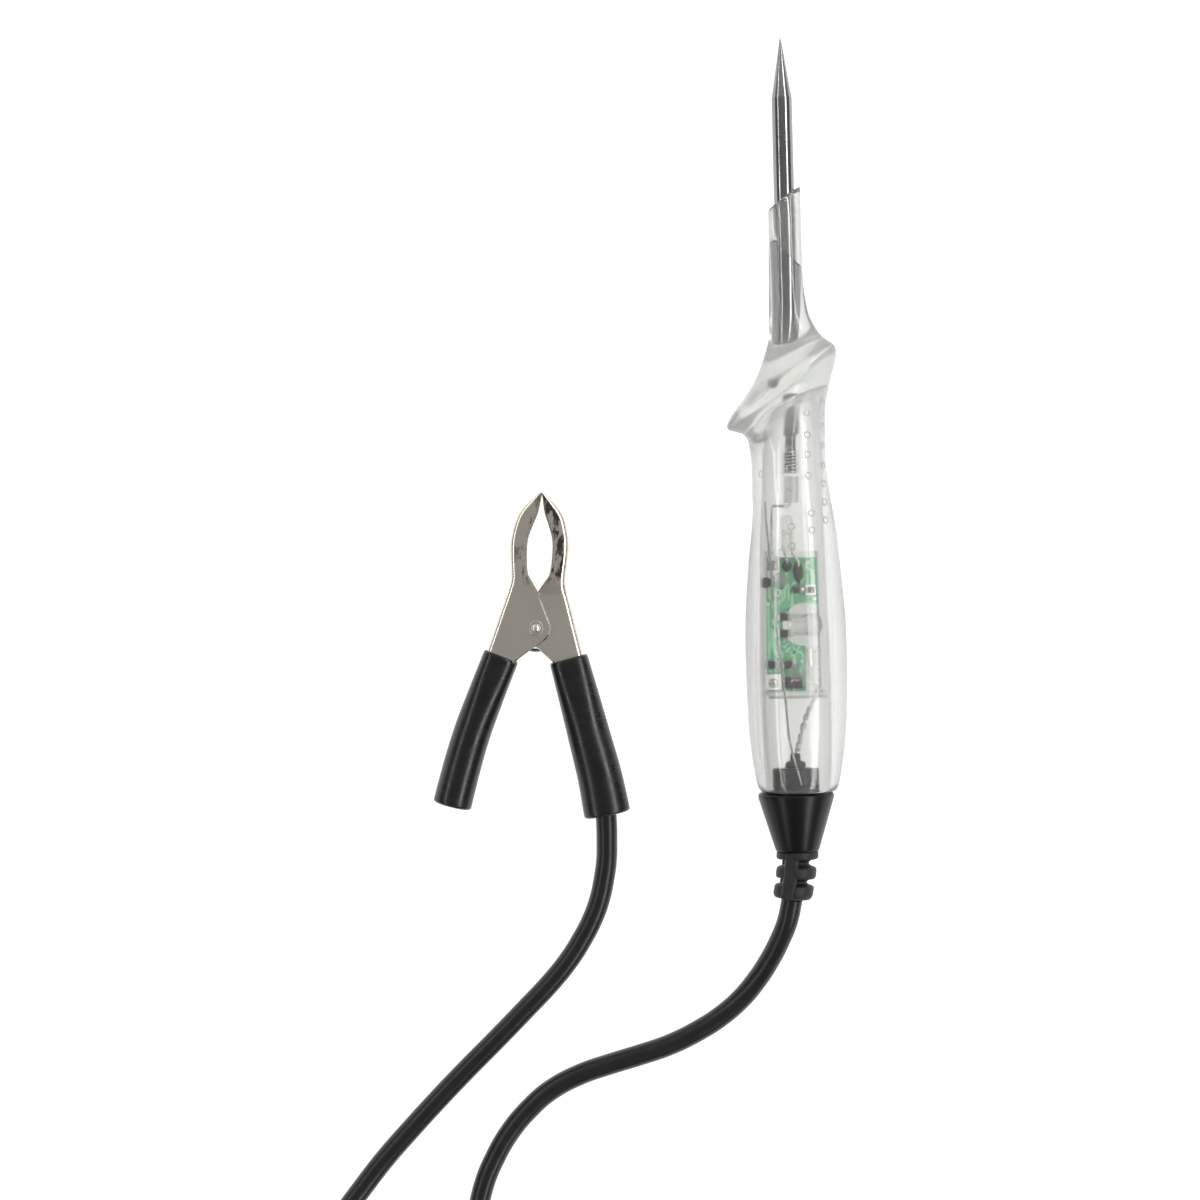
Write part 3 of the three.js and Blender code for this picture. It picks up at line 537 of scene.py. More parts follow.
def build_cord():
    route = [*HANDLE_RUN, *coil_points(), *reversed(CLIP_RUN)]
    data = bpy.data.curves.new("lead", "CURVE")
    data.dimensions = "3D"
    data.bevel_depth = CORD_DIAMETER / 2 * MM
    data.bevel_resolution = 6
    data.resolution_u = 6
    data.use_fill_caps = True
    spline = data.splines.new("BEZIER")
    spline.bezier_points.add(len(route) - 1)
    for point, place in zip(spline.bezier_points, route):
        point.co = Vector(place if len(place) == 3 else (*place, ON_FLOOR)) * MM
        point.handle_left_type = point.handle_right_type = "AUTO"
    data.materials.append(JACKET)
    lead = add_object("lead", data)
    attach(lead, "tester")
    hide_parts("cord_coil", "cord_handle_run", "cord_clip_run")
    return lead


def build_tie():
    """A flat strap round the turns, with its head on top."""
    d = CORD_DIAMETER
    half, low, top = 2 * d + 0.35, COIL_LIFT - 0.35, COIL_LIFT + 1.87 * d + 0.35
    centre = []
    corner = d / 2 + 0.3
    centre += arc(1.6, pi, 1.5 * pi, 6, (-half + 1.6, low + 1.6))
    centre += arc(1.6, 1.5 * pi, TAU, 6, (half - 1.6, low + 1.6))
    centre += arc(corner, 0, radians(55), 5, (half - corner, COIL_LIFT + d / 2 + 1.2))
    centre += arc(corner, radians(55), pi / 2, 5, (half - corner - d / 2 + 0.3, top - corner))
    centre += arc(corner, pi / 2, radians(125), 5, (-half + corner + d / 2 - 0.3, top - corner))
    centre += arc(corner, radians(125), pi, 5, (-half + corner, COIL_LIFT + d / 2 + 1.2))
    middle = Vector((0, (low + top) / 2))
    rings = []
    n = len(centre)
    for i, p in enumerate(centre):
        p = Vector(p)
        ahead = (Vector(centre[(i + 1) % n]) - Vector(centre[i - 1])).normalized()
        out = Vector((ahead.y, -ahead.x))
        if out.dot(p - middle) < 0:
            out = -out
        ring = []
        for across, off in ((-2, 0.1), (-1.85, 0.5), (1.85, 0.5), (2, 0.1), (1.85, -0.05), (-1.85, -0.05)):
            q = p + out * off
            ring.append((COIL_CENTRE[0] + across, COIL_CENTRE[1] - COIL_RADIUS - q.x, q.y))
        rings.append(ring)
    shape = Shape().loft(rings, loop=True)
    tie = mesh("lead_tie", shape, TIE, nodes=["cord_tie"], sharp=50)
    head = Shape().box((COIL_CENTRE[0], COIL_CENTRE[1] - COIL_RADIUS - 1, top + 1.1), (5.2, 4.6, 1.6))
    head.box((COIL_CENTRE[0], COIL_CENTRE[1] - COIL_RADIUS + 6.2, top + 0.95), (3.4, 11, 0.5))
    return tie, mesh("lead_tie_head", head, TIE, bevel=0.25)


lead = build_cord()
lead_tie, lead_tie_head = build_tie()

# ---- needle and its contact


def build_needle():
    shoulder = TIP_Y - 14.8
    shape = Shape().turned([
        (0, TIP_Y), (0.13, TIP_Y - 0.08), (0.22, TIP_Y - 0.4), (NEEDLE_RADIUS - 0.12, shoulder + 0.7),
        (NEEDLE_RADIUS - 0.03, shoulder + 0.25), (NEEDLE_RADIUS, shoulder), (NEEDLE_RADIUS, 60),
        (NEEDLE_RADIUS, 30.3), (NEEDLE_RADIUS - 0.2, 30), (1.7, 29.6), (0, 29.4),
    ], sides=96)
    shape.turned([(0, 19), (1.9, 19), (2.1, 18.8), (2.1, 8.9), (1.9, 8.5), (1.4, 8.1), (1.4, -1.2),
                  (0, -1.2)],
                 sides=96)
    mesh("needle", shape, NEEDLE, nodes=["probe_needle"], sharp=28)

    turns, top, length = 6.5, 4.1, 5.2
    coil = []
    for i in range(int(turns * 28) + 1):
        angle = TAU * i / 28
        coil.append((AXIS_X + 2 * cos(angle), top - i / (turns * 28) * length,
                     AXIS_Z + 2 * sin(angle)))
    mesh("needle_spring", Shape().sweep(coil, 0.19, 8), TINNED, slot="spring_steel", nodes=["contact_spring"])

    mesh("needle_post", Shape().turned([(0, -2), (1.9, -2), (2.05, -2.15), (2.05, -8.5), (1.9, -8.7),
                                        (0, -8.7)], z=AXIS_Z + 0.3), INNER_PLASTIC, nodes=["contact_post"])
    bent = smooth_line([(1.3, -2.2, 9.9), (1.3, -8.6, 9.9), (1.1, -9.4, 10.6), (0.2, -9.5, 12.1),
                        (-2.9, -9.3, 12.4), (-3.5, -9.9, 12.4), (-3.6, -15, 12.4), (-3.8, -21.3, 12.4)], 60)
    mesh("needle_wire", Shape().sweep(bent, 0.35, 12), TINNED, nodes=["contact_lead"])


# ---- clear housing

SLEEVE_TOP = 66.1
CAVITY_TOP = 17.6
HOUSING = [
    (SLEEVE_TOP, 3.95, 4, 3.95), (55, 4.15, 4, 4), (44.2, 4.35, 4.1, 4.05), (36.1, 4.5, 4.9, 4.4),
    (31.5, 5.95, 6.1, 5.3), (27.1, 8.7, 8, 7.6), (24.2, 12.6, 9.8, 10.4), (22.8, 14.6, 10.8, 11.8),
    (21.4, 15.35, 11.5, 12.3), (20.1, 14.8, 11.75, 12.2), (18.6, 13.3, 11.6, 11.7), (16.5, 11.3, 11, 11),
    (13.9, 10.2, 10.05, 9.9), (7.1, 9.6, 8.65, 8.9), (-2.7, 9.6, 8.65, 9.1), (-22.2, 11.1, 11.2, 11.1),
    (-43, 12.15, 12.65, 12.4), (-61, 11.9, 12.2, 11.8), (-77, 10.1, 10, 9.9), (RIM_Y, 9.4, 9.4, 9.3),
]
CAVITY = [(CAVITY_TOP, 7.2), (0, 7.5), (-30, 8.2), (-54, 8.7), (-70, 8.5), (-77, 8), (RIM_Y, 7.9)]


def handle_ring(y, left, right, depth, slope, sides=224):
    ring = []
    for i in range(sides):
        angle = TAU * i / sides
        # the two half widths meet smoothly at the top and bottom
        x = (left + right) / 2 * cos(angle) + (right - left) / 2 * cos(angle) ** 2
        ring.append(Vector((AXIS_X + x, y + slope * x, AXIS_Z + depth * sin(angle))))
    return ring


def housing_slope(y):
    return 0.7 * smoothstep(y, -42, 8)


def skin_ring(y, shrink=0):
    left, right, depth = (along(HOUSING, y, k) - shrink for k in (1, 2, 3))
    return handle_ring(y, left, right, depth, housing_slope(y))


def build_housing():
    bore, bore_end = 2.8, 52.5
    rings = [handle_ring(bore_end, r, r, r, -1.1) for r in (0.3, 2.5, bore)]
    rings += [handle_ring(y, bore, bore, bore, s) for y, s in ((57, -0.4), (61, 0.3), (64.8, 0.7))]
    lip = [(0.85, 0.35), (0.62, 0.1), (0.42, 0), (0.2, 0.06), (0.06, 0.25), (0, 0.55)]
    rings += [skin_ring(SLEEVE_TOP - drop, shrink) for shrink, drop in lip]
    y = 65.2
    while y > -78:
        rings.append(skin_ring(y))
        y -= 0.45 if 10 < y < 36 else 1
    rings += [skin_ring(RIM_Y + up, shrink) for up, shrink in ((0.45, 0.02), (0.15, 0.15), (0, 0.4),
                                                               (0, 0.9))]
    rings.append(handle_ring(RIM_Y + 0.1, 7.95, 7.95, 7.95, 0))
    for y in steps(RIM_Y + 0.4, 16.5, 42):
        half = along(CAVITY, y, 1)
        rings.append(handle_ring(y, half, half, half, 0.5 * smoothstep(y, 0, 14)))
    rings += [handle_ring(y, r, r, r, 0.5) for y, r in ((17.2, 6.9), (17.55, 6.4), (CAVITY_TOP, 5.6),
                                                        (CAVITY_TOP, 3), (CAVITY_TOP, 0.3))]
    mesh("housing", Shape().loft(rings), HOUSING_PLASTIC, nodes=["handle_housing"], sharp=60)


def skin_height(x, y):
    """Height of the housing's front above the axis at x, y (x from the axis)."""
    level = y - housing_slope(y) * x
    left, right, depth = (along(HOUSING, level, k) for k in (1, 2, 3))
    half = right if x > 0 else left
    return depth * sqrt(max(0, 1 - (x / half) ** 2))


def build_pips():
    """Small raised rings on the front of the housing, in rows of [x, heights y]."""
    rows = [
        (3.4, [12.9, 7.6, 2.9, -2.2]), (7.4, [16, 10.2, 5.2, 0.4, -4.1, -8.6, -13]),
        (-1.1, [4.1, -0.5, -5.1, -14.5, -19.1]), (-7.6, [-1.4]), (3.9, [-11.3, -15.4]),
    ]
    shape = Shape()
    for x, ys in rows:
        for y in ys:
            z = AXIS_Z + skin_height(x, y)
            ahead = 0.3
            dx = (skin_height(x + ahead, y) - skin_height(x - ahead, y)) / (2 * ahead)
            dy = (skin_height(x, y + ahead) - skin_height(x, y - ahead)) / (2 * ahead)
            normal = Vector((-dx, -dy, 1)).normalized()
            turn = normal.to_track_quat("Y", "Z").to_matrix().to_4x4()
            place = shift(Vector((AXIS_X + x, y, z))) @ turn
            rim = arc(0.15, 0, TAU, 9, (0.76, 0.05))[:-1]
            shape.loft([[place @ Vector((u * c, v, u * q)) for u, v in rim] for c, q in circle(1, 28)],
                       loop=True)

    mesh("housing_pips", shape, PIP_PLASTIC, sharp=60)


# ---- board, traces and pads


def board_outline():
    notch = arc(5, pi / 2, 1.5 * pi, 25, (3.4, LAMP_Y + 0.1))
    return [(-1.9, -22), (7.5, -22.1), (7.4, -33.2), *notch, (3.9, -43.2), (3.7, -54.1), (-5.9, -53.9),
            (-5.4, -27.6), (-1.9, -27.6)]


def strip(shape, points, width, z, thickness=0.05):
    """A flat copper track with mitred corners."""
    points = [Vector(p) for p in points]
    headings = [(b - a).normalized() for a, b in zip(points, points[1:])]
    left, right = [], []
    for i, p in enumerate(points):
        ahead, grow = headings[min(i, len(headings) - 1)], 1
        if 0 < i < len(headings):
            ahead = (headings[i - 1] + headings[i]).normalized()
            grow = 1 / max(0.5, ahead.dot(headings[i - 1]))
        side = Vector((-ahead.y, ahead.x)) * width / 2 * grow
        left.append(tuple(p + side))
        right.append(tuple(p - side))
    for i in range(len(headings)):
        shape.prism([left[i], left[i + 1], right[i + 1], right[i]], z, z + thickness)


def disc(shape, x, y, rx, ry, low, high, sides=24):
    shape.prism([(x + rx * u, y + ry * v) for u, v in circle(1, sides)], low, high)


def build_board():
    z = BOARD_FRONT_Z
    mesh("board", Shape().prism(board_outline(), z - BOARD_THICKNESS, z), BOARD, nodes=["circuit_board"],
         bevel=0.08)

    tracks = Shape()
    routes = [
        ([(-4.6, -28.8), (-4.6, -31.5), (-3.2, -32.9), (-3.2, -35.6)], 0.7),
        ([(-0.4, -25.6), (-0.4, -28.4), (-1.6, -29.6), (-1.6, -32.2), (-3, -33.6)], 0.55),
        ([(2.7, -27.6), (2.7, -29), (0.9, -30.8), (0.9, -33.5), (-0.2, -34.6), (-0.2, -35.4)], 0.55),
        ([(6.2, -25), (6.2, -28.7)], 0.8),
        ([(4.4, -24), (6.2, -25.8)], 0.6),
        ([(-5, -33.5), (-5, -45.5), (-5.4, -46.4)], 0.6),
        ([(-3.9, -36.8), (-3.9, -44.2), (-3, -45.6)], 0.5),
        ([(-2.6, -38.3), (-2.6, -41.8), (-1.8, -42.6), (-1.8, -45.9)], 0.5),
        ([(-0.4, -42.3), (1, -43.7), (1, -46.6)], 0.5),
        ([(0.2, -44.6), (2.6, -44.6), (3.2, -45.4), (3.2, -52.9)], 0.5),
        ([(-5.2, -48.9), (-4.4, -49.5)], 0.6),
        ([(-2.8, -48.6), (-1.6, -49.8), (-1.6, -51.6)], 0.5),
        ([(2.3, -48.4), (2.3, -50.2)], 0.5),
        ([(-1.9, -53.2), (2.6, -53.2)], 0.4),
        ([(-1, -28.9), (-3.9, -31.8), (-3.9, -34.3)], 0.45),
        ([(0.3, -28.6), (-0.9, -29.8), (-0.9, -31.9), (-2.3, -33.3)], 0.45),
        ([(1.8, -28), (0.1, -29.7), (0.1, -32.6)], 0.45),
        ([(4, -27.2), (2.6, -28.6), (2, -31.4)], 0.45),
        ([(-3.2, -37.9), (-4.4, -39.1), (-4.4, -43.6)], 0.45),
        ([(-0.9, -41.6), (-3.3, -44)], 0.45),
        ([(0.2, -41.9), (-2.4, -44.5)], 0.45),
        ([(1.3, -42.3), (-1.1, -44.7)], 0.45),
        ([(2.4, -43.4), (0.2, -45.6)], 0.45),
    ]
    for points, width in routes:
        strip(tracks, points, width, z)
    mesh("board_tracks", tracks, TRACE)

    pads = Shape()
    for x, y, rx, ry in ((-2.55, -30.6, 0.62, 0.95), (-2.7, -45.05, 0.62, 0.95), (3.1, -24.4, 0.5, 0.5),
                         (5.1, -23.4, 0.45, 0.45), (6.6, -32.2, 0.4, 0.4), (-5, -33.2, 0.45, 0.45),
                         (1, -46.6, 0.45, 0.45), (2.9, -46.9, 0.4, 0.4)):
        disc(pads, x, y, rx, ry, z, z + 0.09)
    for x, y in ((-3, -36.4), (0.4, -36.4), (-3.1, -40.25), (0.3, -40.25), (-6, -47.6), (-2.75, -47.6),
                 (-2.25, -47.7), (1.05, -47.7)):
        pads.box((x, y, z + 0.05), (0.9, 1.9, 0.1))
    mesh("board_pads", pads, PAD, bevel=0.03)
    # painted shade: the holes are not cut; a darker metal disc on each pad stands in for the shade inside a
    # hole
    holes = Shape()
    for x, y, rx, ry in ((-2.55, -30.6, 0.3, 0.6), (-2.7, -45.05, 0.3, 0.6), (3.1, -24.4, 0.22, 0.22),
                         (5.1, -23.4, 0.2, 0.2)):
        disc(holes, x, y, rx, ry, z + 0.02, z + 0.11)
    mesh("board_holes", holes, SPRING)


# ---- lamps


def lamp(name, node, radius, length, flange, place):
    """An epoxy lamp: body, and inside it two posts, a cup with its die, and a bond wire."""
    dome = arc(radius, 0, pi / 2, 10, (0, length - radius))
    profile = [(0, 0), (radius + flange, 0), (radius + flange, 0.75), (radius + flange - 0.1, 0.9),
               (radius, 0.95), *[(r, y) for r, y in dome]]
    mesh(name, Shape().turned(profile, sides=48, place=place), EPOXY, nodes=[node], sharp=40)
    inner = Shape()
    gap = radius * 0.38
    post = radius * 0.16
    inner.box((-gap, length * 0.24, 0), (post * 2.2, length * 0.46, post * 1.6))
    inner.box((gap, length * 0.26, 0), (post * 2, length * 0.5, post * 1.6))
    inner.box((-gap * 0.8, length * 0.49, 0), (radius * 0.9, length * 0.09, radius * 0.62))
    inner.box((gap * 1.05, length * 0.5, 0), (radius * 0.42, length * 0.08, radius * 0.5))
    mesh(name + "_leadframe", inner.moved(lambda p: place @ p), LEADFRAME, bevel=0.06)
    cup = Shape().turned([(0.02, 0), (0.34, 0), (0.46, 0.5), (0.4, 0.5), (0.24, 0.12), (0.02, 0.12)],
                         sides=24,
                         place=place @ shift((-gap * 0.8, length * 0.53, 0)))
    cup.sweep([place @ Vector(p) for p in smooth_line([
        (-gap * 0.8, length * 0.58, 0), (-gap * 0.3, length * 0.64, 0), (gap * 0.6, length * 0.6, 0),
        (gap, length * 0.53, 0)], 14)], 0.04, 6)
    mesh(name + "_cup", cup, CERAMIC)


def build_lamps():
    small_x, middle_z = 0.3, BOARD_MID_Z
    lamp("lamp_small", "led_small", 1.55, 8.7, 0.25, shift((small_x, -20.5, middle_z)))
    for letter, side, x, y, long in (("a", -1, -0.15, -24.1, 1.3), ("b", 1, 2.6, -25.6, 2.4)):
        start = small_x + 0.9 * side
        wire = smooth_line([(start, -20.6, middle_z), (start, -21.3, 12.2), ((start + x) / 2, -22, 12.7),
                            (x, y + long, 12.7), (x, y, 12.75)], 24)
        mesh(f"lamp_small_wire_{letter}", Shape().sweep(wire, 0.26, 12), TINNED,
             nodes=[f"led_small_lead_{letter}"])
        rings = []
        for share in steps(0, 1, 9):
            r = 1 - share**2.2 * 0.72
            rings.append([(x + 1.2 * u, y + long * 1.1 * v, BOARD_FRONT_Z + 0.05 + 1.35 * share)
                          for u, v in circle(r, 24)])
        mesh(f"lamp_small_solder_{letter}", Shape().loft(rings), SOLDER_DARK,
             nodes=[f"led_small_joint_{letter}"], sharp=70)

    lamp("lamp_large", "led_large", 2.5, 8.6, 0.35, shift((0.1, LAMP_Y, middle_z)) @ SIDEWAYS)
    for letter, side in (("a", -1), ("b", 1)):
        y = LAMP_Y + 1.27 * side
        wire = smooth_line([(0.3, y, middle_z), (-0.5, y, middle_z - 0.1), (-1.1, y, 10.4), (-3, y, 10.1)],
                           16)
        mesh(f"lamp_large_wire_{letter}", Shape().sweep(wire, 0.27, 10), TINNED,
             nodes=[f"led_large_lead_{letter}"])
    half_turn = Matrix.Rotation(pi, 4, "Z")
    lamp("lamp_side", "led_side", 1.65, 8, 0.25, shift((6, -43.7, middle_z + 0.6)) @ half_turn)


# ---- small parts on the board


def build_board_parts():
    floor = BOARD_FRONT_Z + 0.1
    for i, (x, y) in enumerate(((-1.3, -36.4), (-1.4, -40.25), (-4.4, -47.6), (-0.6, -47.7))):
        chip = f"chip_{i + 1}"
        mesh(chip, Shape().box((x, y, floor + 0.35), (2, 1.8, 0.7)), CHIP, nodes=[f"chip_resistor_{i + 1}"],
             bevel=0.08)
        ends = Shape().box((x - 1.25, y, floor + 0.36), (0.6, 1.84, 0.74))
        mesh(chip + "_ends", ends.box((x + 1.3, y, floor + 0.36), (0.7, 1.84, 0.74)), SOLDER, bevel=0.15,
             segments=3)

    def boxes(name, material, bevel, rows, *nodes):
        """One piece from rows of x, y, height above the board and three sizes."""
        shape = Shape()
        for x, y, up, *size in rows:
            shape.box((x, y, floor + up), size)
        mesh(name, shape, material, nodes=nodes, bevel=bevel)

    boxes("diode_base", CERAMIC, 0.15, [(5.5, -30, 0.3, 2.7, 2.5, 0.6)], "diode")
    boxes("diode_chip", CHIP, 0.15, [(5.5, -30, 0.75, 1.7, 1.5, 0.5), (1.9, -29.9, 0.6, 1.5, 1.7, 1.1)])
    across = shift((2.6, -29.9, floor + 0.85)) @ SIDEWAYS
    barrel = Shape().turned([(0, 0), (0.6, 0.05), (0.85, 0.3), (0.85, 0.95), (0.6, 1.2), (0.75, 1.3),
                             (0.75, 1.6), (0, 1.65)],
                            sides=28, place=across)
    mesh("diode_barrel", barrel, SOLDER, sharp=50)

    boxes("transistor_body", CHIP, 0.18, [(0.7, -52, 0.55, 4.3, 2.8, 1.1)], "transistor")
    boxes("transistor_legs", SOLDER, 0.06, [
        (x, y, 0.18, 0.6, 0.9, 0.3) for x, y in ((-0.6, -50.3), (2, -50.3), (0.7, -53.7))])
    mark = Shape()
    rim = arc(0.85, radians(20), radians(170), 14, (0.95, -52))
    strip(mark, rim, 0.28, floor + 1.1, 0.03)
    mesh("transistor_dimple", mark, CERAMIC)

    outer = [(-6, -53.7), (-2.3, -53.7), (-2.3, -49.9), (-6, -49.9)]
    hole = arc(1.1, 1.25 * pi, 1.25 * pi + TAU, 41, (-4.3, -52.1))[:-1]
    corners = []
    for i in range(4):
        a, b = Vector(outer[i]), Vector(outer[(i + 1) % 4])
        corners += [tuple(a.lerp(b, k / 10)) for k in range(10)]
    low, high = floor, floor + 0.75
    shape = Shape().loft([[(x, y, z) for x, y in ring] for ring, z in
                          ((hole, low), (corners, low), (corners, high), (hole, high))], caps=False,
                         loop=True)
    mesh("terminal", shape, CERAMIC, nodes=["board_terminal"], bevel=0.12)
    plug = Shape().turned([(0, 0), (1.05, 0), (1, 0.35), (0.5, 0.6), (0, 0.65)], sides=28,
                          place=shift((-4.3, -52.1, floor + 0.05)) @ UPRIGHT)
    mesh("terminal_solder", plug, SOLDER)

    lug = [(-5.2, -21.7), (-4.55, -21.7), (-4.55, -22.7), (-3.05, -22.7), (-3.05, -21.7), (-2.3, -21.7),
           (-2.3, -25.1), (-5.2, -25.1)]
    mesh("lug", Shape().prism(lug, BOARD_FRONT_Z - BOARD_THICKNESS, BOARD_FRONT_Z + 0.2), TINNED,
         nodes=["contact_lug"], bevel=0.15, segments=3)

    def bead(name, node, radius, centre, metal=SOLDER):
        profile = [(radius * sin(a), -radius * cos(a)) for a in steps(0, pi, 17)]
        lumpy = shift(centre) @ Matrix.Diagonal((1.05, 0.95, 1, 1))
        mesh(name, Shape().turned(profile, sides=32, place=lumpy), metal, nodes=[node])

    bead("wire_solder", "solder_bead", 1.42, (-5.4, -28, 13.2), SOLDER_DARK)
    bead("lead_solder", "lead_joint", 0.85, (6.1, -53.1, 14.4))
    bits = Shape()
    for x, y, z, r in ((6.5, -54.2, 14.2, 0.6), (5.7, -52.3, 13.9, 0.55)):
        profile = [(r * sin(a), -r * cos(a)) for a in steps(0, pi, 11)]
        bits.turned(profile, sides=20, place=shift((x, y, z)))
    mesh("lead_solder_bits", bits, SOLDER)


# ---- carrier and stakes


def build_carrier():
    top, bottom, seat = -20.6, -55.2, BOARD_FRONT_Z - BOARD_THICKNESS - 0.3
    low = seat - AXIS_Z
    shape = Shape()
    inner_r, outer_r = 6.5, 7.2
    start = pi - asin(low / outer_r)
    stop = TAU + asin(low / outer_r)
    count = 25
    outline = arc(outer_r, start, stop, count) + arc(inner_r, stop, start, count)
    rings = [[(AXIS_X + u, y, AXIS_Z + v) for u, v in outline] for y in steps(top, bottom, 24)]
    shape.loft(rings, caps=False)
    last = 2 * count - 1
    for ring in (rings[0], rings[-1]):
        shape.add(ring, [[i, i + 1, last - 1 - i, last - i] for i in range(count - 1)])
    foot_r = 7.7
    foot = arc(foot_r, pi - asin(low / foot_r), TAU + asin(low / foot_r), 33)
    shape.loft([[(AXIS_X + u, y, AXIS_Z + v) for u, v in foot] for y in (bottom + 1.3, bottom)])
    for y in (-29, -45.5):
        shape.box((AXIS_X, y, seat - 0.9), (12.6, 3.4, 0.8))
    mesh("carrier", shape, INNER_PLASTIC, nodes=["board_carrier"], bevel=0.12)
    # a clear bar across the foot, in front of the wires
    bar = Shape()
    rings = []
    for x in steps(-6.6, 7.6, 16):
        rings.append([(AXIS_X + x, bottom + 0.1 + 1.2 * v, 13 + 1.2 * u) for u,
                      v in arc(0.62, 0, TAU, 13)[:-1]])
    bar.loft(rings)
    mesh("carrier_foot_bar", bar, INNER_PLASTIC)
    for i, (x, y, lift, r) in enumerate(((-2, -27.5, 0.05, 1.85), (1.4, -49.6, 1.2, 2))):
        head = Shape().turned([(0, 0), (r, 0), (r * 1.02, 0.3), (r * 0.85, 0.7), (r * 0.5, 0.92), (0, 1)],
                              sides=36,
                              place=shift((x, y, BOARD_FRONT_Z + 0.05 + lift))
                              @ UPRIGHT)
        mesh(f"stake_{i + 1}", head, STAKE_PLASTIC,
             nodes=[f"carrier_stake_{i + 1}"], sharp=50)


# ---- wires inside the handle


def build_wires():
    line = smooth_line([(6, -54.3, 14.4), (5, -57, 14.2), (3.3, -60.6, 13.6), (1.9, -65.5, 12.8),
                        (1.1, -68.6, AXIS_Z), (0.8, -70.2, AXIS_Z)], 90)
    strands = Shape()
    count = 2
    for k in range(count):
        path = []
        for i, p in enumerate(line):
            ahead = (line[min(i + 1, 89)] - line[max(i - 1, 0)]).normalized()
            side = ahead.cross(Vector((0, 0, 1))).normalized()
            other = ahead.cross(side)
            angle = TAU * (k / count + i / 89 * 5.2)
            path.append(p + (side * cos(angle) + other * sin(angle)) * 0.44)
        strands.sweep(path, 0.36, 12)
    mesh("conductor", strands, TINNED, nodes=["ground_conductor"])
    thin = smooth_line([(-5.4, -8, 13.2), (-4.4, -20, 14.4), (-3.5, -34.4, 15.6), (-1.8, -54.5, 17.4),
                        (-1, -66, 18.3), (1.4, -76.6, 19.1)], 60)
    mesh("thin_wire", Shape().sweep(thin, 0.27, 12), THIN, nodes=["sense_wire"])


# ---- end cap, seal, relief


def relief_lean(p):
    below = max(0, -93.6 - p.y)
    tilt = 0.009 * below * (p.x - TAIL_X)
    return Vector((p.x - 0.05 * below - 0.008 * below * below, p.y - tilt, p.z))


def build_tail():
    for name, node, material, sides, sharp, profile in (
            ("cap", "end_cap", CAP, 96, 40, [
                (3.5, -93.3), (5, -93.3), (5.25, -93.15), (5.4, -92.8), (9.12, -80.6), (9.22, -80),
                (9.25, -79.6),
                (9.05, -79.25), (8.8, -79.1), (8.2, -79.08), (6.2, -79.08), (6.2, -77.2), (3.6, -77.2),
                (3.6, -93)]),
            ("seal", "seal_ring", RELIEF, 64, 35, [
                (6.5, -78.9), (7.3, -78.9), (7.35, -78.2), (7.2, -77.5), (6.5, -77.4)]),
            ("collar", "cord_collar", CAP, 64, 40, [
                (2.7, -76.8), (5.5, -76.8), (5.75, -76.6), (5.75, -73), (5.5, -72.65), (5.2, -72.6),
                (2.7, -72.6)]),
            ("lead_inner_end", "cable_inner_end", JACKET, 48, 40, [
                (0, -68.9), (1.1, -69), (1.25, -69.4), (1.3, -70.6), (1.9, -70.9), (2.45, -71.2),
                (2.55, -71.6),
                (2.55, -92.5), (0, -92.5)])):
        mesh(name, Shape().turned(profile, x=TAIL_X, sides=sides), material, nodes=[node], sharp=sharp)

    waist = 2.9

    def groove(top, bottom, above, below):
        """A concave neck between two rings."""
        rows = []
        for t in steps(0, 1, 9):
            pull = sin(pi * t) ** 0.6
            edge = above + (below - above) * t
            rows.append((edge + (waist - edge) * pull, top + (bottom - top) * t))
        return rows

    profile = [(0.02, -92.9), (waist, -92.9), (waist, -93.35), (4.95, -93.4), (5.1, -93.6), (5.1, -94.85),
               (4.95, -95.1)]
    profile += groove(-95.2, -97.2, 4.85, 4.5)
    profile += [(4.75, -97.45), (4.9, -97.9), (4.9, -99.2), (4.75, -99.75)]
    profile += groove(-99.9, -101.6, 4.6, 4.35)
    profile += [(4.6, -101.7), (4.8, -102.1), (4.8, -103.8), (4.6, -104.4), (4.2, -104.85), (3.35, -105),
                (2.9, -105.12), (2.62, -105.15), (0.02, -105.15)]
    mesh("relief", Shape().turned(profile, x=TAIL_X, sides=72).moved(relief_lean), RELIEF,
         nodes=["strain_relief"], sharp=50)
    ribs = Shape()
    for side in (1, -1):
        outline = [(-1.7, 0), (1.7, 0), (1.7, 1.9), (1.2, 2.5), (-1.2, 2.5), (-1.7, 1.9)]
        sections = []
        for y in steps(-93.7, -104.6, 10):
            sections.append([relief_lean(Vector((TAIL_X - 1.6 + u, y, AXIS_Z + side * (2.3 + w)))) for u,
                             w in outline])
        ribs.loft(sections)
    mesh("relief_ribs", ribs, RELIEF, bevel=0.3, segments=3, sharp=30)


# ---- clip: jaws

LOBE_RADIUS = 3.65
HANDLE_HALF = 2.9
HANDLE_REACH = 39
LINE_STEPS = 400
HANDLE_LINE = [(8.3, -7.2), (11.8, -16.6), (15, -26.3), (17.2, -35.2), (19.2, -44.9)]
MOVING_GRIP_LINE = [(8.3, -7.2), (11.55, -16.6), (14.7, -26.3), (16.95, -35.2), (19, -44.9)]
FIXED_GRIP_LINE = [(8.3, -7.2), (11.35, -16.8), (14.35, -26.4), (17.3, -36), (19.6, -45.4)]


def line_at(side, t, line=HANDLE_LINE):
    """Point and heading on the clip's handle line. t runs past the ends by HANDLE_REACH for each unit."""
    points = [Vector((side * x, y, 0)) for x, y in line]
    inside = min(max(t, 0), 1)
    dense = smooth_line(points, LINE_STEPS + 1)
    i = round(inside * LINE_STEPS)
    heading = (dense[min(i + 1, LINE_STEPS)] - dense[max(i - 1, 0)]).normalized()
    return dense[i] + heading * (t - inside) * HANDLE_REACH, heading


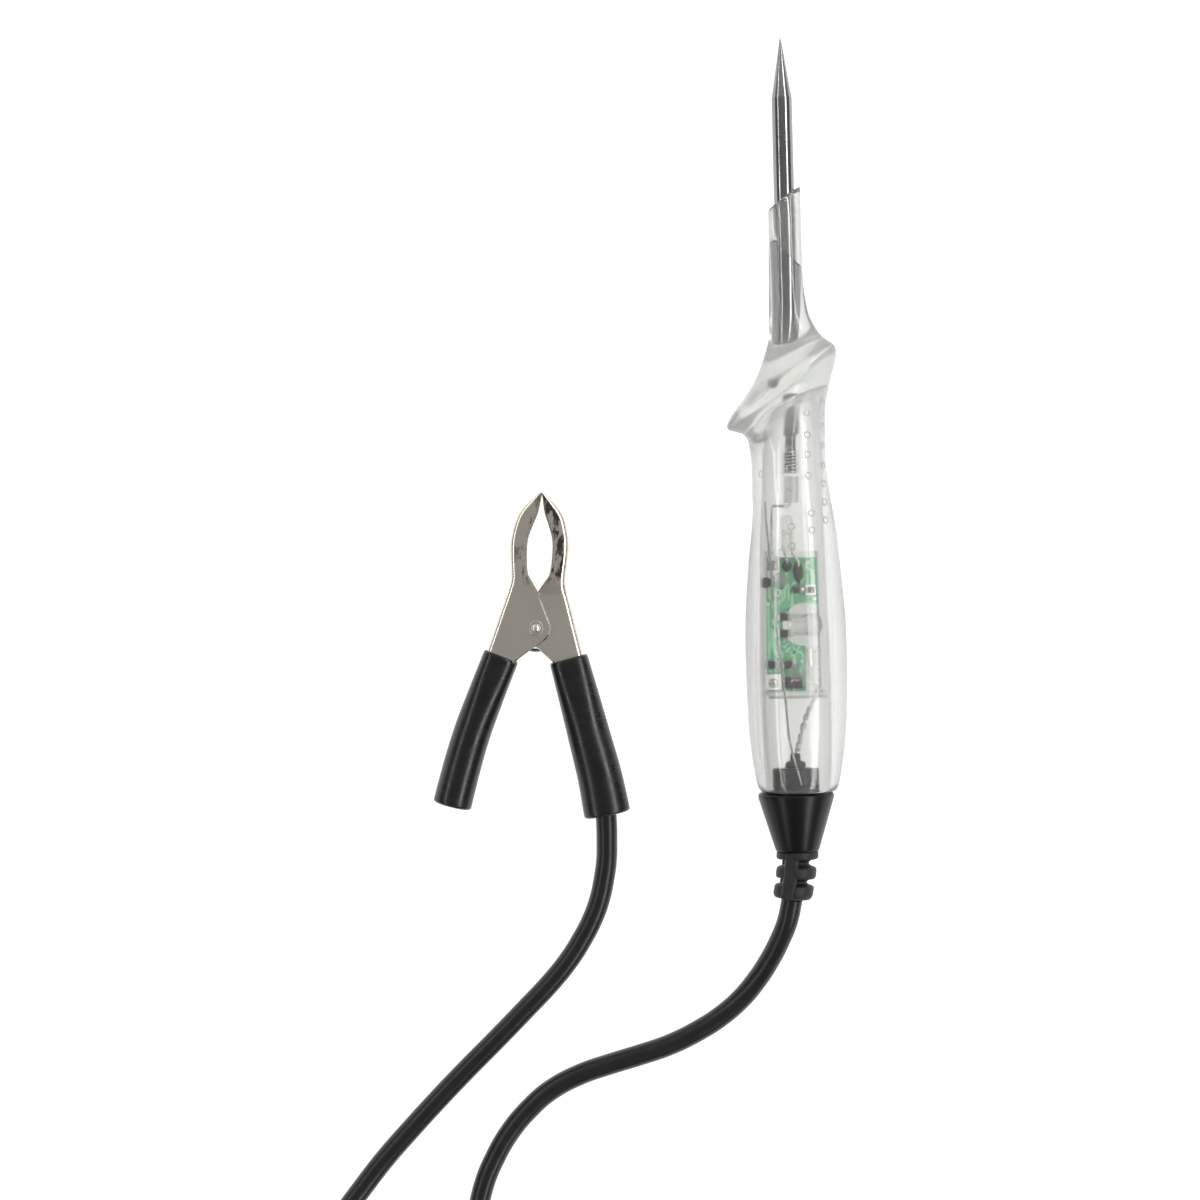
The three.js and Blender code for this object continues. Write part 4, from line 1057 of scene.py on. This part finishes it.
def jaw_edges(handle_end):
    """Outer and inner edge of a jaw left of the pivot, top to bottom, each with the same point count."""

    def handle_edge(side):
        edge = []
        for t in steps(0.16, handle_end, 33):
            p, ahead = line_at(-1, t)
            edge.append(Vector((p.x + side * HANDLE_HALF * ahead.y, p.y - side * HANDLE_HALF * ahead.x)))
        return edge

    def curve(points, count):
        return [Vector((p.x, p.y)) for p in smooth_line([(x, y, 0) for x, y in points], count)]

    def straight(start, stop, count):
        return [Vector(start).lerp(Vector(stop), t) for t in steps(0, 1, count)][1:]

    outer = curve([(-0.2, 33.7), (-1.4, 32.8), (-4.4, 29.9), (-6.2, 26.6), (-7.25, 21.6), (-7.2, 17.5),
                   (-6.8, 12.2), (-7.35, 9.1)], 141)
    outer += straight((-7.35, 9.1), (-11.7, -5.4), 50) + handle_edge(1)
    inner = curve([(-0.2, 32.6), (-0.9, 28.6), (-2.1, 25.3), (-3.15, 21.5), (-3.15, 16.2), (-2.75, 13.3)],
                  101)
    inner += straight((-2.75, 13.3), (0.3, 8.4), 6)
    lobe = [Vector(p) for p in arc(LOBE_RADIUS, 0.6, -0.92, 13)]
    inner += straight((0.3, 8.4), lobe[0], 6) + lobe[1:]
    inner += [Vector(p) for p in smooth_line([(2.21, -2.9, 0), (0.6, -4.3, 0), (-1, -5.3, 0),
                                              (-4.5, -8.2, 0)], 9)][1:]
    inner = [Vector((p[0], p[1])) for p in inner] + handle_edge(-1)
    return outer, inner


def running_length(edge):
    lengths = [0]
    for a, b in zip(edge, edge[1:]):
        lengths.append(lengths[-1] + (b - a).length)
    return lengths


def resample(edge, levels):
    """Points of an edge that match the levels of the other one, by share of its length."""
    lengths = running_length(edge)
    result = []
    i = 0
    for share in levels:
        goal = share * lengths[-1]
        while i < len(edge) - 2 and lengths[i + 1] < goal:
            i += 1
        span = max(lengths[i + 1] - lengths[i], 1e-9)
        result.append(edge[i].lerp(edge[i + 1], min(max((goal - lengths[i]) / span, 0), 1)))
    return result


def build_jaw(name, node, body, mirror, handle_end, half_at, material):
    """A sheet folded along its outer edge: front plate, rounded bend, back plate."""
    outer, inner = jaw_edges(handle_end)
    count = 150
    shares = steps(0, 1, count)
    outer, inner = resample(outer, shares), matched(outer, inner, count)
    rings = []
    for i in range(count):
        ahead = (outer[min(i + 1, count - 1)] - outer[max(i - 1, 0)]).normalized()
        normal = Vector((ahead.y, -ahead.x))
        across = inner[i] - outer[i]
        if normal.dot(across) < 0:
            normal = -normal
        width = max(across.length, 0.05)
        bend = min(1.5, 0.45 * width)
        thick = min(SHEET, 0.4 * width)
        half = half_at(outer[i].y)
        into = across.normalized()
        chamfer = min(0.36, 0.2 * width)
        section = [(inner[i], half - thick), (inner[i], half - chamfer), (inner[i] - into * chamfer, half)]
        for a in steps(0, pi / 2, 7):
            section.append((outer[i] + normal * bend * (1 - sin(a)), half - bend * (1 - cos(a))))
        back = [(p, -z) for p, z in reversed(section)]
        small = max(bend - thick, 0.05)
        lining = []
        for a in steps(0, pi / 2, 5):
            lining.append((outer[i] + normal * (thick + small * (1 - sin(a))),
                           half - thick - small * (1 - cos(a))))
        lining_back = [(p, -z) for p, z in reversed(lining)]
        loop = section + back + [(p, z) for p, z in reversed(lining_back)] + [(p, z) for p,
                                                                              z in reversed(lining)]
        rings.append([Vector(((-1 if mirror else 1) * p.x, p.y, z)) for p, z in loop])
    shape = Shape().loft(rings)
    return mesh(name, shape, material, body, [node], sharp=32, place=CLIP)


def matched(outer, inner, count):
    """The inner edge's points that face the outer ones, pinned where both pass the same features."""
    # shares of each edge's length at: tip, end of the nose, pivot lobe's top, lobe's end, handle end
    pins_outer = pins(outer, [(-7.25, 21.6), (-7.35, 9.1), (-9.9, 0.6), (-11.7, -5.4)])
    pins_inner = pins(inner, [(-3.15, 21.5), (0.3, 8.4), (LOBE_RADIUS, 0), (-4.5, -8.2)])
    shares = []
    for s in steps(0, 1, count):
        i = max(k for k in range(len(pins_outer) - 1) if pins_outer[k] <= s + 1e-9)
        t = (s - pins_outer[i]) / max(pins_outer[i + 1] - pins_outer[i], 1e-9)
        shares.append(pins_inner[i] + (pins_inner[i + 1] - pins_inner[i]) * min(t, 1))
    return resample(inner, shares)


def pins(edge, places):
    lengths = running_length(edge)
    found = [0]
    for place in places:
        nearest = min(range(len(edge)), key=lambda k: (edge[k] - Vector(place)).length)
        found.append(lengths[nearest] / lengths[-1])
    return [*found, 1]


def build_clip_metal():
    build_jaw("jaw_moving", "clip_jaw_moving", "moving_jaw", False, 0.93, lambda y: OUTER_HALF, PLATED)

    def nested(y):
        return INNER_HALF + (OUTER_HALF - INNER_HALF) * min(max((y - 8.8) / 3, 0), 1)

    build_jaw("jaw_fixed", "clip_jaw_fixed", "tester", True, 0.7, nested, PLATED_WORN)

    rivet = Shape()
    z = OUTER_HALF
    head = [(0.4, z - 1), (1.1, z - 1), (1.1, z + 0.02), *[(1.15 * cos(a), z + 0.05 + 0.85 * sin(a))
            for a in steps(0, pi / 2, 10)]]
    upright = CLIP @ UPRIGHT
    rivet.turned(head, sides=40, place=upright)
    rivet.turned([(r, -y) for r, y in head], sides=40, place=upright)
    rivet.turned([(0, -z + 0.5), (1.1, -z + 0.5), (1.1, z - 0.5), (0, z - 0.5)], sides=32, place=upright)
    mesh("rivet", rivet, PLATED_BRIGHT, nodes=["clip_rivet"], sharp=50)
    ring = Shape()
    for side in (1, -1):
        profile = [(1.6, side * (z - 0.1)), (1.64, side * (z + 0.06)), (1.75, side * (z + 0.13)),
                   (1.86, side * (z + 0.06)), (1.9, side * (z - 0.1))]
        ring.loft([[CLIP @ Vector((r * c, r * s, h)) for r, h in profile] for c, s in circle(1, 48)],
                  loop=True)
    mesh("rivet_ring", ring, PLATED_BRIGHT, "moving_jaw", sharp=60)


def build_clip_spring():
    leg = [(15, -23), (12.9, -16.2), (9.3, -10), (6.4, -5.2)]
    coil = []
    for i in range(91):
        angle = i / 90 * 2.5 * TAU * 0.985
        coil.append((5.5 * cos(angle), 5.5 * sin(angle), 1.15 * (2 * i / 90 - 1)))
    path = smooth_line([*[(x, y, -1.15) for x, y in leg], coil[0]], 20)[:-1] + [Vector(p) for p in coil]
    mesh("spring_coil", Shape().sweep(path, 0.42, 12), SPRING, nodes=["clip_spring"], place=CLIP)
    back = smooth_line([(-5.5, -0.45, 1.2), *[(-x, y, 1.2) for x, y in reversed(leg)]], 24)
    mesh("spring_leg", Shape().sweep(back, 0.42, 12), SPRING, "moving_jaw", ["clip_spring_leg"], place=CLIP)


# ---- clip: grips


MOUTH_DROP = 0.27
MOUTH_CORNER = 0.72


def build_grip(name, node, body, side, line, widths, opening):
    """A dipped vinyl sleeve: square over the folded sheet at its mouth, rounder towards its end."""
    sides, count = 72, 40

    def ring(t, shrink=0):
        p, ahead = line_at(side, t, line)
        across = Vector((-ahead.y, ahead.x, 0))
        half = widths[0] + (widths[1] - widths[0]) * min(max(t, 0), 1) - shrink
        depth = CLIP_PIVOT.z - MOUTH_DROP * (1 - smoothstep(t, 0, 0.45)) - shrink
        corner = MOUTH_CORNER + (1 - MOUTH_CORNER) * smoothstep(t, 0, 0.5)
        points = []
        for j in range(sides):
            angle = TAU * (j + 0.5) / sides
            u, v = cos(angle), sin(angle)
            u = copysign(abs(u) ** corner, u) * half
            v = copysign(abs(v) ** corner, v) * depth
            points.append(p + across * u + Vector((0, 0, v)))
        return points

    rings = [ring(0.25, 1), ring(0.1, 1), ring(0.005, 1), ring(0, 0.75), ring(0, 0.35), ring(0.004, 0.12)]
    rings += [ring(t) for t in steps(0.014, 0.982, count)]
    rings += [ring(0.99, 0.1), ring(0.996, 0.3), ring(1, 0.7), ring(1, 1.2)]
    if opening:
        rings += [ring(0.998, 1.6), ring(0.985, 1.7), ring(0.9, 1.7)]
    else:
        rings += [ring(0.999, 2.2), ring(0.998, 3)]
    mesh(name, Shape().loft(rings), VINYL, body, [node], sharp=70, place=CLIP)


def build_grips():
    build_grip("grip_moving", "clip_grip_moving", "moving_jaw", -1, MOVING_GRIP_LINE, (4.45, 4.8), False)
    build_grip("grip_fixed", "clip_grip_fixed", "tester", 1, FIXED_GRIP_LINE, (4.8, 5.8), True)


def paint_kept_nodes():
    """CAD nodes that stay: they lie inside the fixed grip, and need only their finish."""
    kept = {"cable_clip_end": JACKET, "clip_conductor": TINNED, "cable_crimp": TINNED}
    for name, material in kept.items():
        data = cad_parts[name].data
        data.materials.clear()
        data.materials.append(material)


build_needle()
build_housing()
build_pips()
build_board()
build_lamps()
build_board_parts()
build_carrier()
build_wires()
build_tail()
build_clip_metal()
build_clip_spring()
build_grips()
paint_kept_nodes()

# ---- floor, world and lights


FLOOR_HALF = 40
FLOOR_GLOW = 0.9


def build_floor():
    data = bpy.data.meshes.new("floor")
    size = FLOOR_HALF
    z = FLOOR_Z * MM
    data.from_pydata([(-size, -size, z), (size, -size, z), (size, size, z), (-size, size, z)], [],
                     [(0, 1, 2, 3)])
    n = Nodes("floor_white")
    grain = n.noise(60, 3)
    n.feed(Base_Color=n.ramp(grain, [(0.3, (0.40, 0.40, 0.40)), (0.7, (0.41, 0.41, 0.41))]))
    n.set(Roughness=0.95, Specular_IOR_Level=0, Emission_Color=(1, 1, 1, 1), Emission_Strength=FLOOR_GLOW)
    data.materials.append(n.material)
    floor = add_object("floor", data)


def build_world():
    """A grey room, lighter beyond the needle's point, where a white card stands."""
    world = bpy.data.worlds.new("studio")
    scene.world = world
    world.use_nodes = True
    n = Nodes("studio", tree=world.node_tree)
    way = n.split(n.coords.outputs["Generated"])
    room = n.ramp(way["Z"], [(0, 0.22), (0.45, 0.18), (0.97, 0.32)])
    card = n.ramp(way["Y"], [(0.3, 0), (0.75, 0.45)])
    n.link(n.blend(room, card, "ADD"), n.tree.nodes["Background"].inputs["Color"])


def area(name, place, size, power):
    data = bpy.data.lights.new(name, "AREA")
    data.shape = "RECTANGLE"
    data.size, data.size_y = size
    data.energy = power
    light = add_object(name, data)
    light.location = place
    # the long side stays along Y, and the face looks at the middle of the handle and clip
    light.rotation_euler = (0, atan2(place[0] + 0.03, place[2]), 0)


build_floor()
build_world()
area("left_box", (-0.95, -0.03, 0.78), (0.13, 2.4), 5)
area("right_box", (0.78, -0.03, 0.92), (0.25, 2.4), 13.5)
